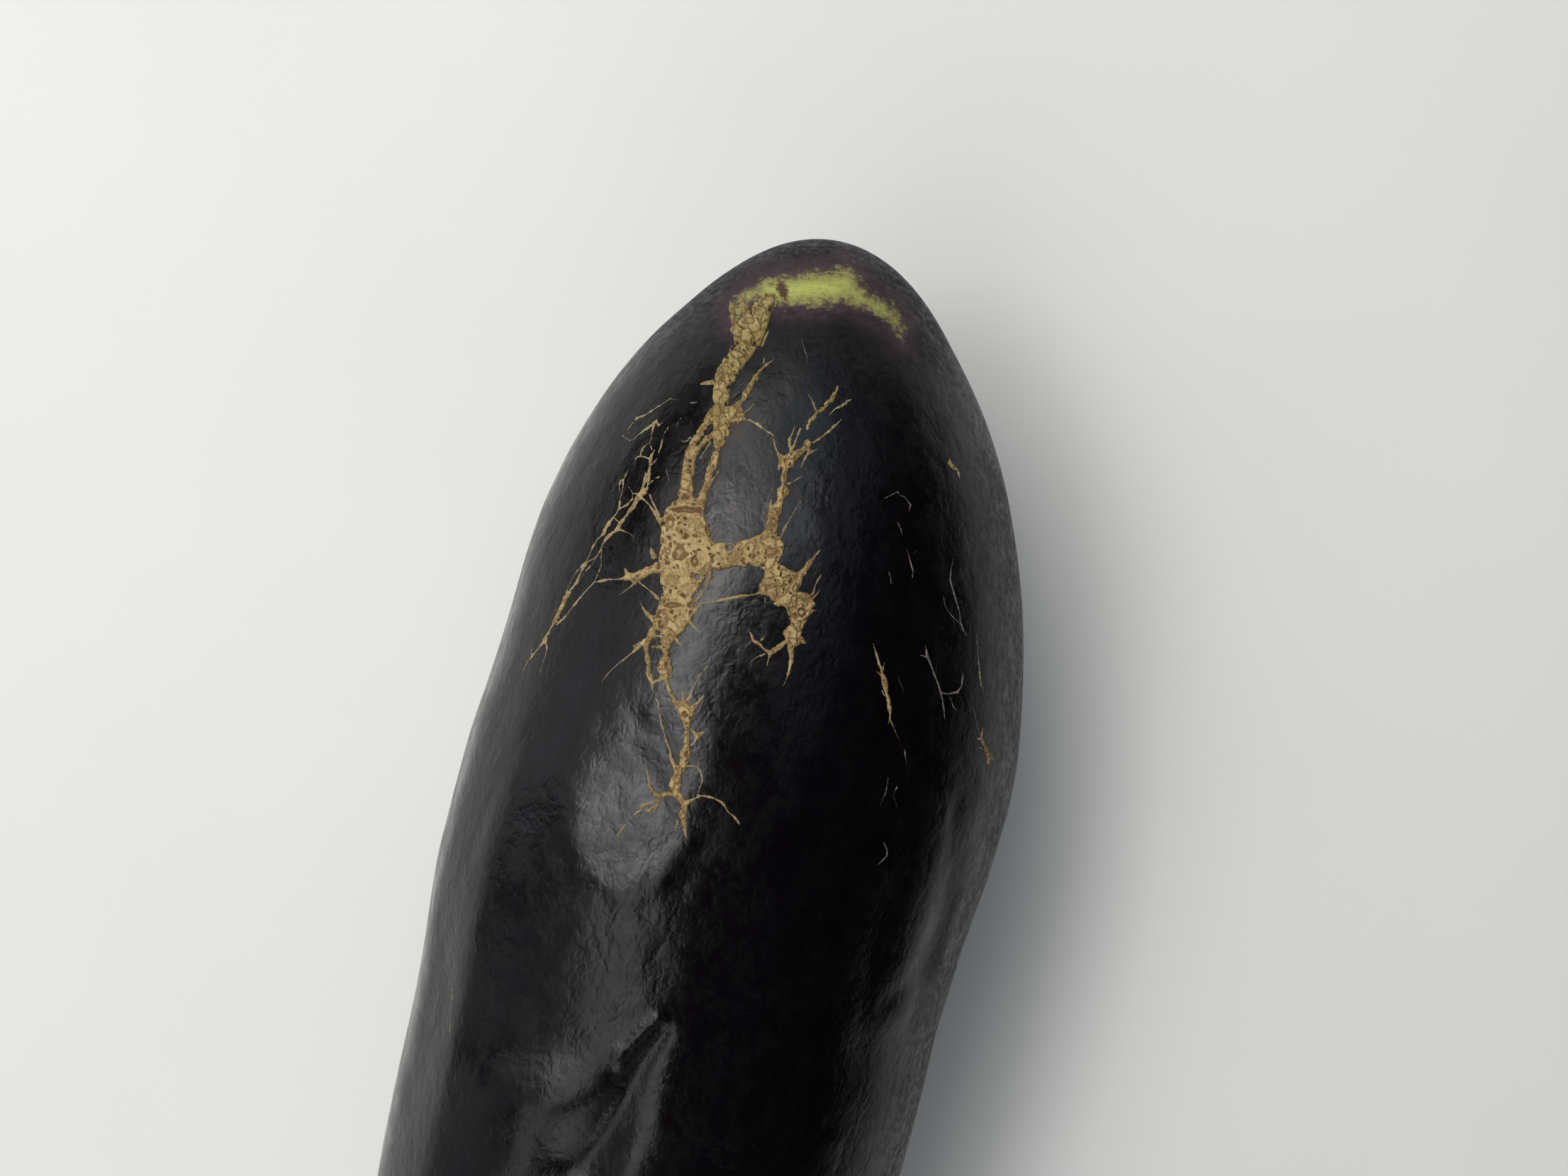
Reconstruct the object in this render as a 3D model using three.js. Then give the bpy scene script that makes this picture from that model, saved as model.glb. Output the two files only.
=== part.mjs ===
// A ripe, glossy, black-purple eggplant lying on its side, with a branching cork scar on its back,
// a green cap of five pointed lobes and a short cut stem.
// Millimetres, +Z up. The origin is the middle of the small flat spot that the fruit rests on,
// +Y points to the blossom end, and s is the distance from the blossom end towards the stem.

import * as THREE from "three";
import { ParametricGeometry } from "three/addons/geometries/ParametricGeometry.js";
import { mergeVertices } from "three/addons/utils/BufferGeometryUtils.js";

// Fruit
const FRUIT_LENGTH = 205;
const REST_TO_BLOSSOM_END = 103; // along Y, from the rest spot's middle
const CENTRE_HEIGHT = 35.6; // of the fruit's centreline above the surface
const BLOSSOM_END_RADIUS = 15; // radius of curvature at each end
const STEM_END_RADIUS = 17;
const HEIGHT_OVER_WIDTH = 0.96;
// [s, half the width]
const HALF_WIDTHS = [
  [10, 16.9],
  [20, 24.3],
  [30, 29.4],
  [45, 34.2],
  [60, 36.4],
  [75, 37.6],
  [90, 37.2],
  [110, 36.1],
  [135, 35.3],
  [160, 32.6],
  [180, 27.4],
  [195, 17.8],
];
// [s, depth below the centreline]: the underside is deepest over the rest spot
const DEPTHS = [
  [10, 16.6],
  [20, 23.6],
  [40, 31.4],
  [60, 34.4],
  [80, 35.9],
  [103, 36.8],
  [125, 35.9],
  [145, 34.2],
  [165, 30.6],
  [180, 26.2],
  [195, 17.2],
];
// [s, how far the centreline stands to the right of the rest spot]
const BOW = [
  [0, 0.2],
  [20, 0.6],
  [45, 1.4],
  [65, 2.3],
  [80, 1.3],
  [95, 0.1],
  [115, 0],
  [135, -0.7],
  [170, -1.8],
  [205, -3],
];

// Fruit grid: close together over the scar, wide elsewhere
const SCAR_ANGLES = [-38, 11]; // degrees from the top line, + to the right
const SCAR_STATIONS = [6, 86];
const COLUMNS_ON_SCAR = 38;
const COLUMNS_ELSEWHERE = 26;
const ROWS_TO_BLOSSOM_END = 5;
const ROWS_ON_SCAR = 62;
const ROWS_TO_STEM = 18;

// Scar: its strands were traced from above, as an eye over the fruit sees them.
const EYE_HEIGHT = 215; // above the centreline
const EYE_X = 2.6; // of the eye, to the right of the rest spot
const EYE_STATION = 49.1; // of the eye, from the blossom end
const EYE_ON_TRACE = [5.6, 49.5]; // from the trace's origin, across and along the fruit
const TRACE_TURN = THREE.MathUtils.degToRad(12); // the trace's down axis against the fruit's length
const SCAR_RISE = 0.8;
const SCAR_EDGE = 0.55; // width of the sloping edge of a strand
const LEAST_STRAND = 0.62; // half the width of the thinnest strand
// Strands as [right of the blossom end, down from it, half width] in the trace
const STRANDS = [
  // trunk from the green patch down to the fork
  [[-8.6, 8.6, 1.6], [-9.2, 10, 3], [-9.7, 13, 2], [-10.7, 16, 1.5], [-12.2, 18.5, 1.3],
    [-13.4, 21.5, 1.1], [-13.5, 23.9, 0.7], [-13.6, 27.8, 1.2]],
  // the fork's left and right strands, down to the wide middle
  [[-14.6, 25.3, 0.8], [-16.9, 28, 0.5], [-17.8, 30.6, 0.8], [-18.3, 34, 0.9], [-18.8, 37.5, 1.2]],
  [[-13.6, 27.8, 0.8], [-14.6, 32, 0.6], [-15.6, 35, 0.5], [-16.8, 38.3, 1]],
  [[-13.5, 25, 1.2], [-11.5, 25.3, 1.1], [-10.5, 22.9, 0.5], [-8.3, 19.2, 0.3]],
  // the wide middle and the bar that leaves it to the right
  [[-18.2, 38.5, 1.8], [-18.8, 41, 3.2], [-18.5, 43, 3.6], [-18.8, 47, 3.4], [-19.5, 50, 2.2],
    [-20, 53, 2.6], [-21.2, 55.4, 2.1]],
  [[-15.5, 44.9, 2], [-12.5, 45, 1.75], [-9.5, 44.7, 2], [-8, 44.4, 2.4], [-6.8, 43.6, 1.9]],
  // the right strand, up and down from the bar
  [[-6.6, 43.5, 1.8], [-6.4, 40.8, 0.95], [-5.3, 37.3, 0.6], [-4.8, 34, 0.5], [-4.2, 31.6, 1.1],
    [-1.3, 29.3, 0.5]],
  [[-6.6, 44.8, 1.6], [-6.2, 47.4, 1.4], [-5.2, 49.8, 2.3], [-3.4, 51.6, 1.3], [-2.8, 54.5, 1.1],
    [-3.6, 56.2, 1.3], [-3.8, 60.2, 0.3]],
  [[-4, 48.2, 1], [-2.3, 47.7, 0.6], [-0.4, 45, 0.25]],
  // left arm of the middle
  [[-22.5, 46.8, 0.8], [-25.6, 48.4, 0.6], [-29.5, 48.4, 0.2]],
  // the two strands below the middle, which meet at the foot
  [[-23.2, 55.8, 0.7], [-24, 58.5, 0.4], [-23.4, 62.4, 0.35]],
  [[-20.8, 56, 1.1], [-21.2, 59.1, 0.45], [-21.3, 60.9, 1.1], [-20.9, 63.6, 0.4], [-18.5, 67.2, 1.2],
    [-18.4, 70.5, 0.4], [-18.9, 73.8, 0.85], [-20.2, 77.5, 0.9], [-18.9, 82.5, 0.5]],
  // outer left net
  [[-24.4, 36, 0.45], [-26.6, 38.9, 0.25], [-30.4, 43.5, 0.2], [-34.8, 49.7, 0.2], [-35.6, 51, 0.4],
    [-37.9, 55.6, 0.2]],
];

// Hollows and swellings of the skin: [s, degrees from the top line, half length along the fruit,
// half width across it, height, slant]
const SWELLINGS = [
  [115, -24, 5, 9, 0.9, -0.9],
  [122, -12, 11, 5, -1.3, -0.5],
  [104, 52, 4, 16, -0.5, 0],
  [90, 38, 16, 3, -0.35, 0.1],
  [88, 55, 14, 3, -0.35, 0.1],
  [96, -46, 40, 3.5, 0.35, 0],
  [100, -66, 45, 3.5, 0.3, 0],
  [62, -8, 10, 12, 0.35, 0],
  [80, -8, 8, 10, -0.3, 0],
];
const SWELLINGS_FADE = 15; // half width of the fruit up to which they fade towards its ends

// Cap
const LOBES = 5;
const LOBE_TIPS = [45, 39, 47, 41, 37]; // reach of each lobe from the stem end, along Y
const LOBE_NOTCH = 17; // reach of the cap between two lobes
const LOBE_TAPER = 1.15; // 1 for straight sides, more for hollow ones
const LOBE_TURN = 0.35; // radians by which the first lobe stands off the top line
const CAP_GAP = 0.35; // between the cap and the skin
const CAP_THICKNESS = 3.4; // at the stem
const CAP_EDGE = 1; // at the rim
const LOBE_CURL = 1.1; // lift of the lobe tips off the skin
const CAP_COLUMNS = 90;
const CAP_ROWS = 10;
const CAP_CROWDING = 1.7; // of the rows towards the stem

// Stem
const STEM_LENGTH = 29;
const STEM_RADIUS = 5.6;
const STEM_FOOT_RADIUS = 8.4;
const STEM_FOOT_DROP = 1.6; // how far the foot's edge reaches down over the fruit's end
const STEM_CUT_RADIUS = 6.4;
const STEM_BEND = [-3.5, 3]; // sideways and upward drift of the cut end
const STEM_RIB = 0.07; // share of the radius
const STEM_SIDES = 30;
const STEM_GAP = 0.3;

// A smooth curve through [place, value] stations, level beyond the first and the last.
function smoothThrough(stations) {
  const slope = stations.map((station, i) => {
    const before = stations[Math.max(i - 1, 0)];
    const after = stations[Math.min(i + 1, stations.length - 1)];
    return (after[1] - before[1]) / (after[0] - before[0]);
  });
  return (place) => {
    const last = stations.length - 2;
    const i = THREE.MathUtils.clamp(stations.findLastIndex(([at]) => at <= place), 0, last);
    const [x0, y0] = stations[i];
    const [x1, y1] = stations[i + 1];
    const gap = x1 - x0;
    const t = THREE.MathUtils.clamp((place - x0) / gap, 0, 1);
    const eased = t * t * (3 - 2 * t);
    const bend = gap * (t * (1 - t) ** 2 * slope[i] - t * t * (1 - t) * slope[i + 1]);
    return y0 + (y1 - y0) * eased + bend;
  };
}

// A profile that is round at both ends: its square over s (length - s) is the smooth curve.
function roundEndedProfile(stations, startRadius, endRadius) {
  const fullness = smoothThrough([
    [0, (2 * startRadius) / FRUIT_LENGTH],
    ...stations.map(([s, r]) => [s, (r * r) / (s * (FRUIT_LENGTH - s))]),
    [FRUIT_LENGTH, (2 * endRadius) / FRUIT_LENGTH],
  ]);
  return (s) => Math.sqrt(Math.max(fullness(s) * s * (FRUIT_LENGTH - s), 0));
}

const halfWidth = roundEndedProfile(HALF_WIDTHS, BLOSSOM_END_RADIUS, STEM_END_RADIUS);
const depth = roundEndedProfile(DEPTHS, BLOSSOM_END_RADIUS, STEM_END_RADIUS);
const bow = smoothThrough(BOW);

// The fruit's smooth form at station s and angle turn from the top line, without its scar.
function bareSkin(s, turn) {
  const across = halfWidth(s);
  const height = Math.cos(turn) > 0 ? HEIGHT_OVER_WIDTH * across : depth(s);
  const swelling = SWELLINGS.reduce((sum, [at, degrees, long, wide, rise, slant]) => {
    const along = s - at;
    const aside = turn - THREE.MathUtils.degToRad(degrees);
    const over = Math.atan2(Math.sin(aside), Math.cos(aside)) * across - slant * along;
    return sum + rise * Math.exp(-((along / long) ** 2) - (over / wide) ** 2);
  }, 0) * THREE.MathUtils.smoothstep(across, 0, SWELLINGS_FADE);
  return new THREE.Vector3(
    bow(s) + (across + swelling) * Math.sin(turn),
    REST_TO_BLOSSOM_END - s,
    CENTRE_HEIGHT + (height + swelling) * Math.cos(turn),
  );
}

// Distance from a point to a strand, less the strand's half width there.
function outsideStrand(x, down, strand) {
  let least = Infinity;
  for (let i = 1; i < strand.length; i++) {
    const [x0, d0, w0] = strand[i - 1];
    const [x1, d1, w1] = strand[i];
    const dx = x1 - x0;
    const dd = d1 - d0;
    const t = THREE.MathUtils.clamp(
      ((x - x0) * dx + (down - d0) * dd) / (dx * dx + dd * dd), 0, 1);
    const half = Math.max(w0 + (w1 - w0) * t, LEAST_STRAND);
    least = Math.min(least, Math.hypot(x - x0 - t * dx, down - d0 - t * dd) - half);
  }
  return least;
}

// Rise of the cork scar over a point of the bare skin, found by laying the point on the trace.
function scarRise(point) {
  if (point.z < CENTRE_HEIGHT) return 0;
  const spread = EYE_HEIGHT / (EYE_HEIGHT - (point.z - CENTRE_HEIGHT));
  const x = EYE_ON_TRACE[0] + (point.x - EYE_X) * spread;
  const s = EYE_ON_TRACE[1] + (REST_TO_BLOSSOM_END - point.y - EYE_STATION) * spread;
  const right = x * Math.cos(TRACE_TURN) - s * Math.sin(TRACE_TURN);
  const down = x * Math.sin(TRACE_TURN) + s * Math.cos(TRACE_TURN);
  const outside = Math.min(...STRANDS.map((strand) => outsideStrand(right, down, strand)));
  return SCAR_RISE * THREE.MathUtils.smoothstep(-outside, -SCAR_EDGE, SCAR_EDGE);
}

// Outward direction of the bare skin.
function skinNormal(s, turn) {
  if (s >= FRUIT_LENGTH) return new THREE.Vector3(0, -1, 0);
  const step = 0.01;
  const along = bareSkin(s + step, turn).sub(bareSkin(s - step, turn));
  const around = bareSkin(s, turn + step).sub(bareSkin(s, turn - step));
  return along.cross(around).normalize();
}

// One closed body of a surface whose first parameter goes round clockwise, as seen from where the
// second one ends: shared corners merged, collapsed triangles dropped.
function closedBody(surface, columns, rows) {
  const wrapped = (u, v, target) => surface(u < 1 ? u : 0, 1 - v, target);
  const grid = new ParametricGeometry(wrapped, columns, rows);
  grid.deleteAttribute("normal");
  grid.deleteAttribute("uv");
  const merged = mergeVertices(grid, 1e-3);
  const corners = merged.index.array;
  const kept = [];
  for (let i = 0; i < corners.length; i += 3) {
    const [a, b, c] = corners.subarray(i, i + 3);
    if (a !== b && b !== c && c !== a) kept.push(a, b, c);
  }
  merged.setIndex(kept);
  merged.computeVertexNormals();
  return merged;
}

// Fruit: close rows and columns over the scar, and a clamp at the surface that makes the flat spot.
function fruitGeometry() {
  const columns = COLUMNS_ON_SCAR + COLUMNS_ELSEWHERE;
  const rows = ROWS_TO_BLOSSOM_END + ROWS_ON_SCAR + ROWS_TO_STEM;
  const [leftAngle, rightAngle] = SCAR_ANGLES;
  const [scarTop, scarFoot] = SCAR_STATIONS;
  const turnAt = (column) => {
    const past = column - COLUMNS_ON_SCAR;
    const degrees = past < 0
      ? THREE.MathUtils.lerp(leftAngle, rightAngle, column / COLUMNS_ON_SCAR)
      : THREE.MathUtils.lerp(rightAngle, leftAngle + 360, past / COLUMNS_ELSEWHERE);
    return THREE.MathUtils.degToRad(degrees);
  };
  const stationAt = (row) => {
    if (row <= ROWS_TO_BLOSSOM_END) return scarTop * (row / ROWS_TO_BLOSSOM_END) ** 2;
    const onScar = row - ROWS_TO_BLOSSOM_END;
    if (onScar <= ROWS_ON_SCAR) return THREE.MathUtils.lerp(scarTop, scarFoot, onScar / ROWS_ON_SCAR);
    const quarter = ((onScar - ROWS_ON_SCAR) / ROWS_TO_STEM) * (Math.PI / 2);
    return THREE.MathUtils.lerp(scarFoot, FRUIT_LENGTH, Math.sin(quarter));
  };
  const surface = (u, v, target) => {
    const s = stationAt(Math.round(v * rows));
    const turn = turnAt(Math.round(u * columns));
    const point = bareSkin(s, turn);
    if (s > 0 && s < FRUIT_LENGTH) point.addScaledVector(skinNormal(s, turn), scarRise(point));
    target.set(point.x, point.y, Math.max(point.z, 0));
  };
  return closedBody(surface, columns, rows);
}

// Reach of the cap from the stem end at an angle: pointed lobes over a common notch line.
function capReach(turn) {
  const place = (((turn - LOBE_TURN) / (2 * Math.PI)) * LOBES + LOBES) % LOBES;
  const lobe = Math.round(place) % LOBES;
  const aside = Math.abs(place - Math.round(place)) * 2;
  return LOBE_NOTCH + (LOBE_TIPS[lobe] - LOBE_NOTCH) * (1 - aside) ** LOBE_TAPER;
}

// A point over the skin, gone from the stem end: the cap's inner face, or its outer one.
function capPoint(gone, turn, outer, lift = 0) {
  const reach = capReach(turn);
  const share = gone / reach;
  const s = FRUIT_LENGTH - gone;
  const tip = THREE.MathUtils.smoothstep(reach, LOBE_NOTCH, LOBE_TIPS[0]) * share ** 4;
  const thickness = outer ? CAP_EDGE + (CAP_THICKNESS - CAP_EDGE) * (1 - share) ** 2 : 0;
  const height = CAP_GAP + LOBE_CURL * tip + thickness + lift;
  return bareSkin(s, turn).addScaledVector(skinNormal(s, turn), height);
}

// Cap: from its middle on the skin out to the rim, then back over the outside.
function capGeometry() {
  const rows = 2 * CAP_ROWS + 1;
  const surface = (u, v, target) => {
    const row = Math.round(v * rows);
    const outer = row > CAP_ROWS;
    const turn = u * 2 * Math.PI;
    const gone = capReach(turn) * ((outer ? rows - row : row) / CAP_ROWS) ** CAP_CROWDING;
    target.copy(capPoint(gone, turn, outer));
  };
  return closedBody(surface, CAP_COLUMNS, rows);
}

// Stem: a foot that follows the cap, a ribbed shaft that bends a little, and a flat cut end.
function stemGeometry() {
  const foot = [0, 0.3, 1];
  const shaft = [0.06, 0.14, 0.26, 0.4, 0.55, 0.7, 0.85, 1];
  const rows = foot.length + shaft.length;
  const middle = capPoint(0, 0, true, STEM_GAP);
  const radiusAt = (t) => {
    const flare = (STEM_FOOT_RADIUS - STEM_RADIUS) * (1 - t) ** 5;
    return STEM_RADIUS + flare + (STEM_CUT_RADIUS - STEM_RADIUS) * t ** 3;
  };
  const surface = (u, v, target) => {
    const row = Math.round(v * rows);
    const turn = u * 2 * Math.PI;
    if (row < foot.length) {
      target.copy(capPoint(STEM_FOOT_DROP * foot[row], turn, true, STEM_GAP));
      return;
    }
    const t = row < rows ? shaft[row - foot.length] : 1;
    const rib = 1 + STEM_RIB * Math.cos(LOBES * (turn - LOBE_TURN) + t);
    const radius = row < rows ? radiusAt(t) * rib : 0;
    target.set(
      middle.x + STEM_BEND[0] * t * t + radius * Math.sin(turn),
      middle.y - STEM_LENGTH * t,
      middle.z + STEM_BEND[1] * t * t + radius * Math.cos(turn),
    );
  };
  return closedBody(surface, STEM_SIDES, rows);
}

const skin = new THREE.MeshStandardMaterial({ color: 0x17101a, roughness: 0.25, metalness: 0 });
const cap = new THREE.MeshStandardMaterial({ color: 0x5d7038, roughness: 0.6, metalness: 0 });
const stalk = new THREE.MeshStandardMaterial({ color: 0x6d7c43, roughness: 0.7, metalness: 0 });

const eggplant = new THREE.Group();
for (const [name, geometry, material] of [
  ["fruit", fruitGeometry(), skin],
  ["calyx", capGeometry(), cap],
  ["stem", stemGeometry(), stalk],
]) {
  const mesh = new THREE.Mesh(geometry, material);
  mesh.name = name;
  eggplant.add(mesh);
}

export default eggplant;
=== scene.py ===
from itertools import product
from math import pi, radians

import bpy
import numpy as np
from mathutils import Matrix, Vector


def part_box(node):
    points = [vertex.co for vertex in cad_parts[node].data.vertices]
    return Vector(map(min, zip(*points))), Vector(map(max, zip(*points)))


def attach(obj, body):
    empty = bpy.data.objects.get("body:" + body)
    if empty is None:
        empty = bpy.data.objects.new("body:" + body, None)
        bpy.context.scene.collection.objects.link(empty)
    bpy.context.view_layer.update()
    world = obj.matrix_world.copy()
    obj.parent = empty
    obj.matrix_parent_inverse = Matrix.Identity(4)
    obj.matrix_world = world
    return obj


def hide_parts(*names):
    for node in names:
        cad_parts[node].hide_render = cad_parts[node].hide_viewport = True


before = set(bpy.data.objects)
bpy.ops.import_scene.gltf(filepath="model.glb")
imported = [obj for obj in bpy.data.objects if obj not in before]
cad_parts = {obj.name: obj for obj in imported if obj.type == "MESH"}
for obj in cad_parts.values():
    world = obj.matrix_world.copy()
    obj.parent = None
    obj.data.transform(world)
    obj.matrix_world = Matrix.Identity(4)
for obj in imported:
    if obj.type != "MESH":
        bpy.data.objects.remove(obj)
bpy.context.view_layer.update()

# A whole eggplant lying on a pale surface. Its skin is black-purple, with a raised branching cork
# scar, thin pale cracks and a yellow-green patch near the blossom end. A green calyx holds its
# other end, with a short cut stem.
# Lengths are millimetres until a mesh is made. s runs along the fruit from its blossom end, and a
# turn is an angle round it from the top line, positive to the right.

MM = 0.001
SEED = 7
# What is added to it for each field of random values, by the field's name
SEEDS = {
    "spot rims": 5, "edge lumps": 13, "edge knobs": 11, "edge crumbs": 12, "edge nicks": 19, "bend": 14,
    "bend across": 15, "cork lumps": 16, "crater rims": 18, "cork grain": 20, "wander": 21, "ridges": 22,
    "beads": 25, "cap waves": 21, "stalk": 22, "cut end": 23, "small pits": 41, "large pits": 31,
    "broad waves": 1, "short waves": 2, "dimples": 3,
}
# Large numbers that mix places and seeds into random values
SEED_MIXER = 2654435761
AXIS_MIXERS = (73856093, 19349663, 83492791)
SHUFFLERS = (1274126177, 1103515245)
LOW_32_BITS = 0xFFFFFFFF
LOW_16_BITS = 0xFFFF

# The fruit's form, with its length and ends from the frame
fruit_low, fruit_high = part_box("fruit")
BLOSSOM_END_Y = fruit_high.y / MM
FRUIT_LENGTH = (fruit_high.y - fruit_low.y) / MM
CENTRE_HEIGHT = 35.6
BLOSSOM_END_RADIUS = 15
STEM_END_RADIUS = 17
HEIGHT_OVER_WIDTH = 0.96
# (s, half the width)
HALF_WIDTHS = (
    (10, 16.9), (20, 24.3), (30, 29.4), (45, 34.2), (60, 36.4), (75, 37.6),
    (90, 37.2), (110, 36.1), (135, 35.3), (160, 32.6), (180, 27.4), (195, 17.8),
)
# (s, depth below the centreline)
DEPTHS = (
    (10, 16.6), (20, 23.6), (40, 31.4), (60, 34.4), (80, 35.9), (103, 36.8),
    (125, 35.9), (145, 34.2), (165, 30.6), (180, 26.2), (195, 17.2),
)
# (s, sideways stand of the centreline)
BOW = (
    (0, 0.2), (20, 0.6), (45, 1.4), (65, 2.3), (80, 1.3), (95, 0.1),
    (115, 0), (135, -0.7), (170, -1.8), (205, -3),
)
# Swellings, and hollows where the height is negative: (s, degrees, half length, half width, height, slant)
SWELLINGS = (
    (115, -24, 5, 9, 0.9, -0.9),
    (122, -12, 11, 5, -1.3, -0.5),
    (104, 52, 4, 16, -0.5, 0),
    (90, 38, 16, 3, -0.35, 0.1),
    (88, 55, 14, 3, -0.35, 0.1),
    (96, -46, 40, 3.5, 0.35, 0),
    (100, -66, 45, 3.5, 0.3, 0),
    (62, -8, 10, 12, 0.35, 0),
    (80, -8, 8, 10, -0.3, 0),
)
SWELLINGS_FADE = 15  # the half width of the fruit at which they reach their full height
# Flat spots seen on the trace: (right, down, half width, half length, how flat, sunk by, tilt)
FLAT_SPOTS = (
    (-26.7, 81.5, 8.9, 12, 0.75, 0.42, 0.055),
    (-10.4, 36, 4, 6.5, 0.6, 0.1, 0),
    (-35, 120, 3.4, 25, 0.6, 0.08, 0),
)
# A flat spot's rim as shares of the spot: how far it fades, how much less at its lower end, between
# which places along the spot, and how ragged it is, with lumps of a size in millimetres
SPOT_FADE = 0.75
SPOT_LOWER_LESS = 0.72
SPOT_LOWER_PART = (-0.8, 0.6)
SPOT_RAGGED = 0.07
SPOT_LUMPS = 2
# Folds seen on the trace: (height, chain of (right, down, half width))
FOLDS = (
    (-0.6, ((-22, 112, 1.1), (-25, 116, 1.8), (-28.4, 123, 2.6), (-33, 132, 3.6))),
    (0.55, ((-22.4, 110.4, 0.9), (-25.4, 113.4, 1.2), (-28, 116, 1.2))),
    (0.25, ((-18.5, 113, 3), (-20.8, 120, 3.4), (-25.5, 131, 4))),
    (-0.18, ((19.6, 79.6, 0.9), (18.1, 91.6, 1.3), (16.6, 99.6, 1.4), (13.6, 104.6, 1.3), (9.1, 108.6, 1))),
    (-0.14, ((24.6, 80.6, 0.9), (23.1, 86.6, 1.2), (21.1, 91.6, 1.3), (19.1, 101.6, 1.1))),
    (0.15, ((21.6, 88, 1.3), (19.4, 96, 1.6), (16.5, 104, 1.3))),
)
FOLD_REACH = 9.0  # in widths of the fold, past which there is nothing left of it
SKIN_CURVE = 42  # radius of the skin across the flat spots
RELIEF_FADE = 10  # the relief dies out over this height above the centreline
# Waves of the skin: (size round the fruit, size along it, height, field name)
SKIN_WAVES = (
    (11, 60, 0.28, "broad waves"),
    (5, 22, 0.06, "short waves"),
    (2.8, 4.5, 0.05, "dimples"),
)
SKIN_COLUMNS = 280
SKIN_ROWS = 350
SKIN_COLUMNS_UPWARDS = 0.35  # the most that a column is shifted towards the top, in radians
# Nothing of the skin is worked out nearer to its ends than this. Its slopes are taken over a step along
# it, in millimetres, and a step round it, in radians.
NEAR_END = 0.05
SLOPE_STEP = 0.04
SLOPE_TURN = 0.002

# The eye that the scar was traced from: its height over the centreline, its x and its s, then where
# it lies on the trace, and how far the trace is turned
EYE_HEIGHT = 215
EYE_X = 2.6
EYE_STATION = 49.1
EYE_ON_TRACE = (5.6, 49.5)
TRACE_TURN = radians(12)
SIGHT_STEPS = 24  # to close in on the point that a sight line meets
SIGHT_SHARE = 0.6  # of each step's correction
RIM_SINE = 0.999  # nearest to the fruit's outline that a sight line may meet it
LENS = 35
SENSOR = 36

# Scar strands as (right of the blossom end, down from it, half width) in the trace
# The trunk from the green patch down to the fork, with its spurs
TRUNK = (
    ((-6.2, 8.3, 0.5), (-6.9, 9.4, 1.1), (-8, 10.9, 1.5), (-9.2, 13, 1.75), (-9.9, 14.8, 1.7),
     (-10.7, 16, 1.5), (-11.4, 17.2, 1.3), (-12.2, 18.5, 1.3), (-13, 20, 1.3), (-13.4, 21.5, 1.1),
     (-13.5, 22.8, 1.1), (-13.5, 23.9, 0.5), (-13.7, 25, 1.2), (-13.5, 26.4, 1.1), (-13.6, 27.8, 1.2),
     (-13.8, 29.2, 0.7)),
    ((-10.6, 14.4, 0.9), (-11.5, 12.2, 0.55), (-12.1, 10.2, 0.3), (-12.4, 9.2, 0.12)),
    ((-9.4, 12.4, 0.8), (-10.1, 10.6, 0.5), (-10.6, 9.2, 0.25), (-10.2, 8.1, 0.12)),
    ((-11.2, 14, 0.4), (-12.1, 13.2, 0.2)),
    ((-14.8, 20.6, 0.25), (-15.6, 20.7, 0.15), (-16.5, 20.8, 0.1)),
    ((-12.6, 25.2, 1), (-11.5, 25.3, 1.1)),
    ((-11.3, 24.6, 0.6), (-10.9, 23.6, 0.5), (-10.5, 22.9, 0.5), (-10.1, 22.2, 0.4), (-9.7, 21.5, 0.35),
     (-9, 20.3, 0.4), (-8.3, 19.2, 0.35), (-7.6, 18.4, 0.25), (-6.3, 17.4, 0.12)),
    ((-7.7, 18.3, 0.12), (-7.6, 17, 0.06)),
    ((-10.4, 24.9, 0.2), (-9.6, 24.3, 0.15), (-9.1, 23.7, 0.12)),
    ((-6.2, 11.6, 0.06), (-6.9, 13.3, 0.06), (-7.9, 15.5, 0.06)),
)
# The two strands from the fork to the wide middle
FORK = (
    ((-14.6, 25.3, 0.8), (-15.8, 26.5, 0.5), (-16.9, 28, 0.45), (-17.5, 29.5, 0.55), (-17.8, 30.6, 0.8),
     (-18.1, 32, 0.8), (-18.3, 34, 0.9), (-18.5, 36, 1), (-18.8, 37.5, 1.2), (-18.8, 39.2, 2)),
    ((-13.8, 27, 0.4), (-15, 28, 0.45), (-16.2, 29.2, 0.45), (-17.2, 30.2, 0.5)),
    ((-15.2, 26.2, 0.3), (-16, 27.2, 0.3), (-17, 28.8, 0.3)),
    ((-15.2, 29.2, 0.2), (-16.6, 31.3, 0.1)),
    ((-13.8, 29.3, 0.7), (-14.2, 30.5, 0.55), (-14.6, 32, 0.55), (-15.3, 33.5, 0.55), (-15.6, 35, 0.5),
     (-16.1, 36.3, 0.55), (-16.4, 37.5, 0.7), (-16.8, 38.3, 1)),
    ((-14, 33.2, 0.08), (-14.9, 34.5, 0.15), (-15.6, 36, 0.15)),
)
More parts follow.
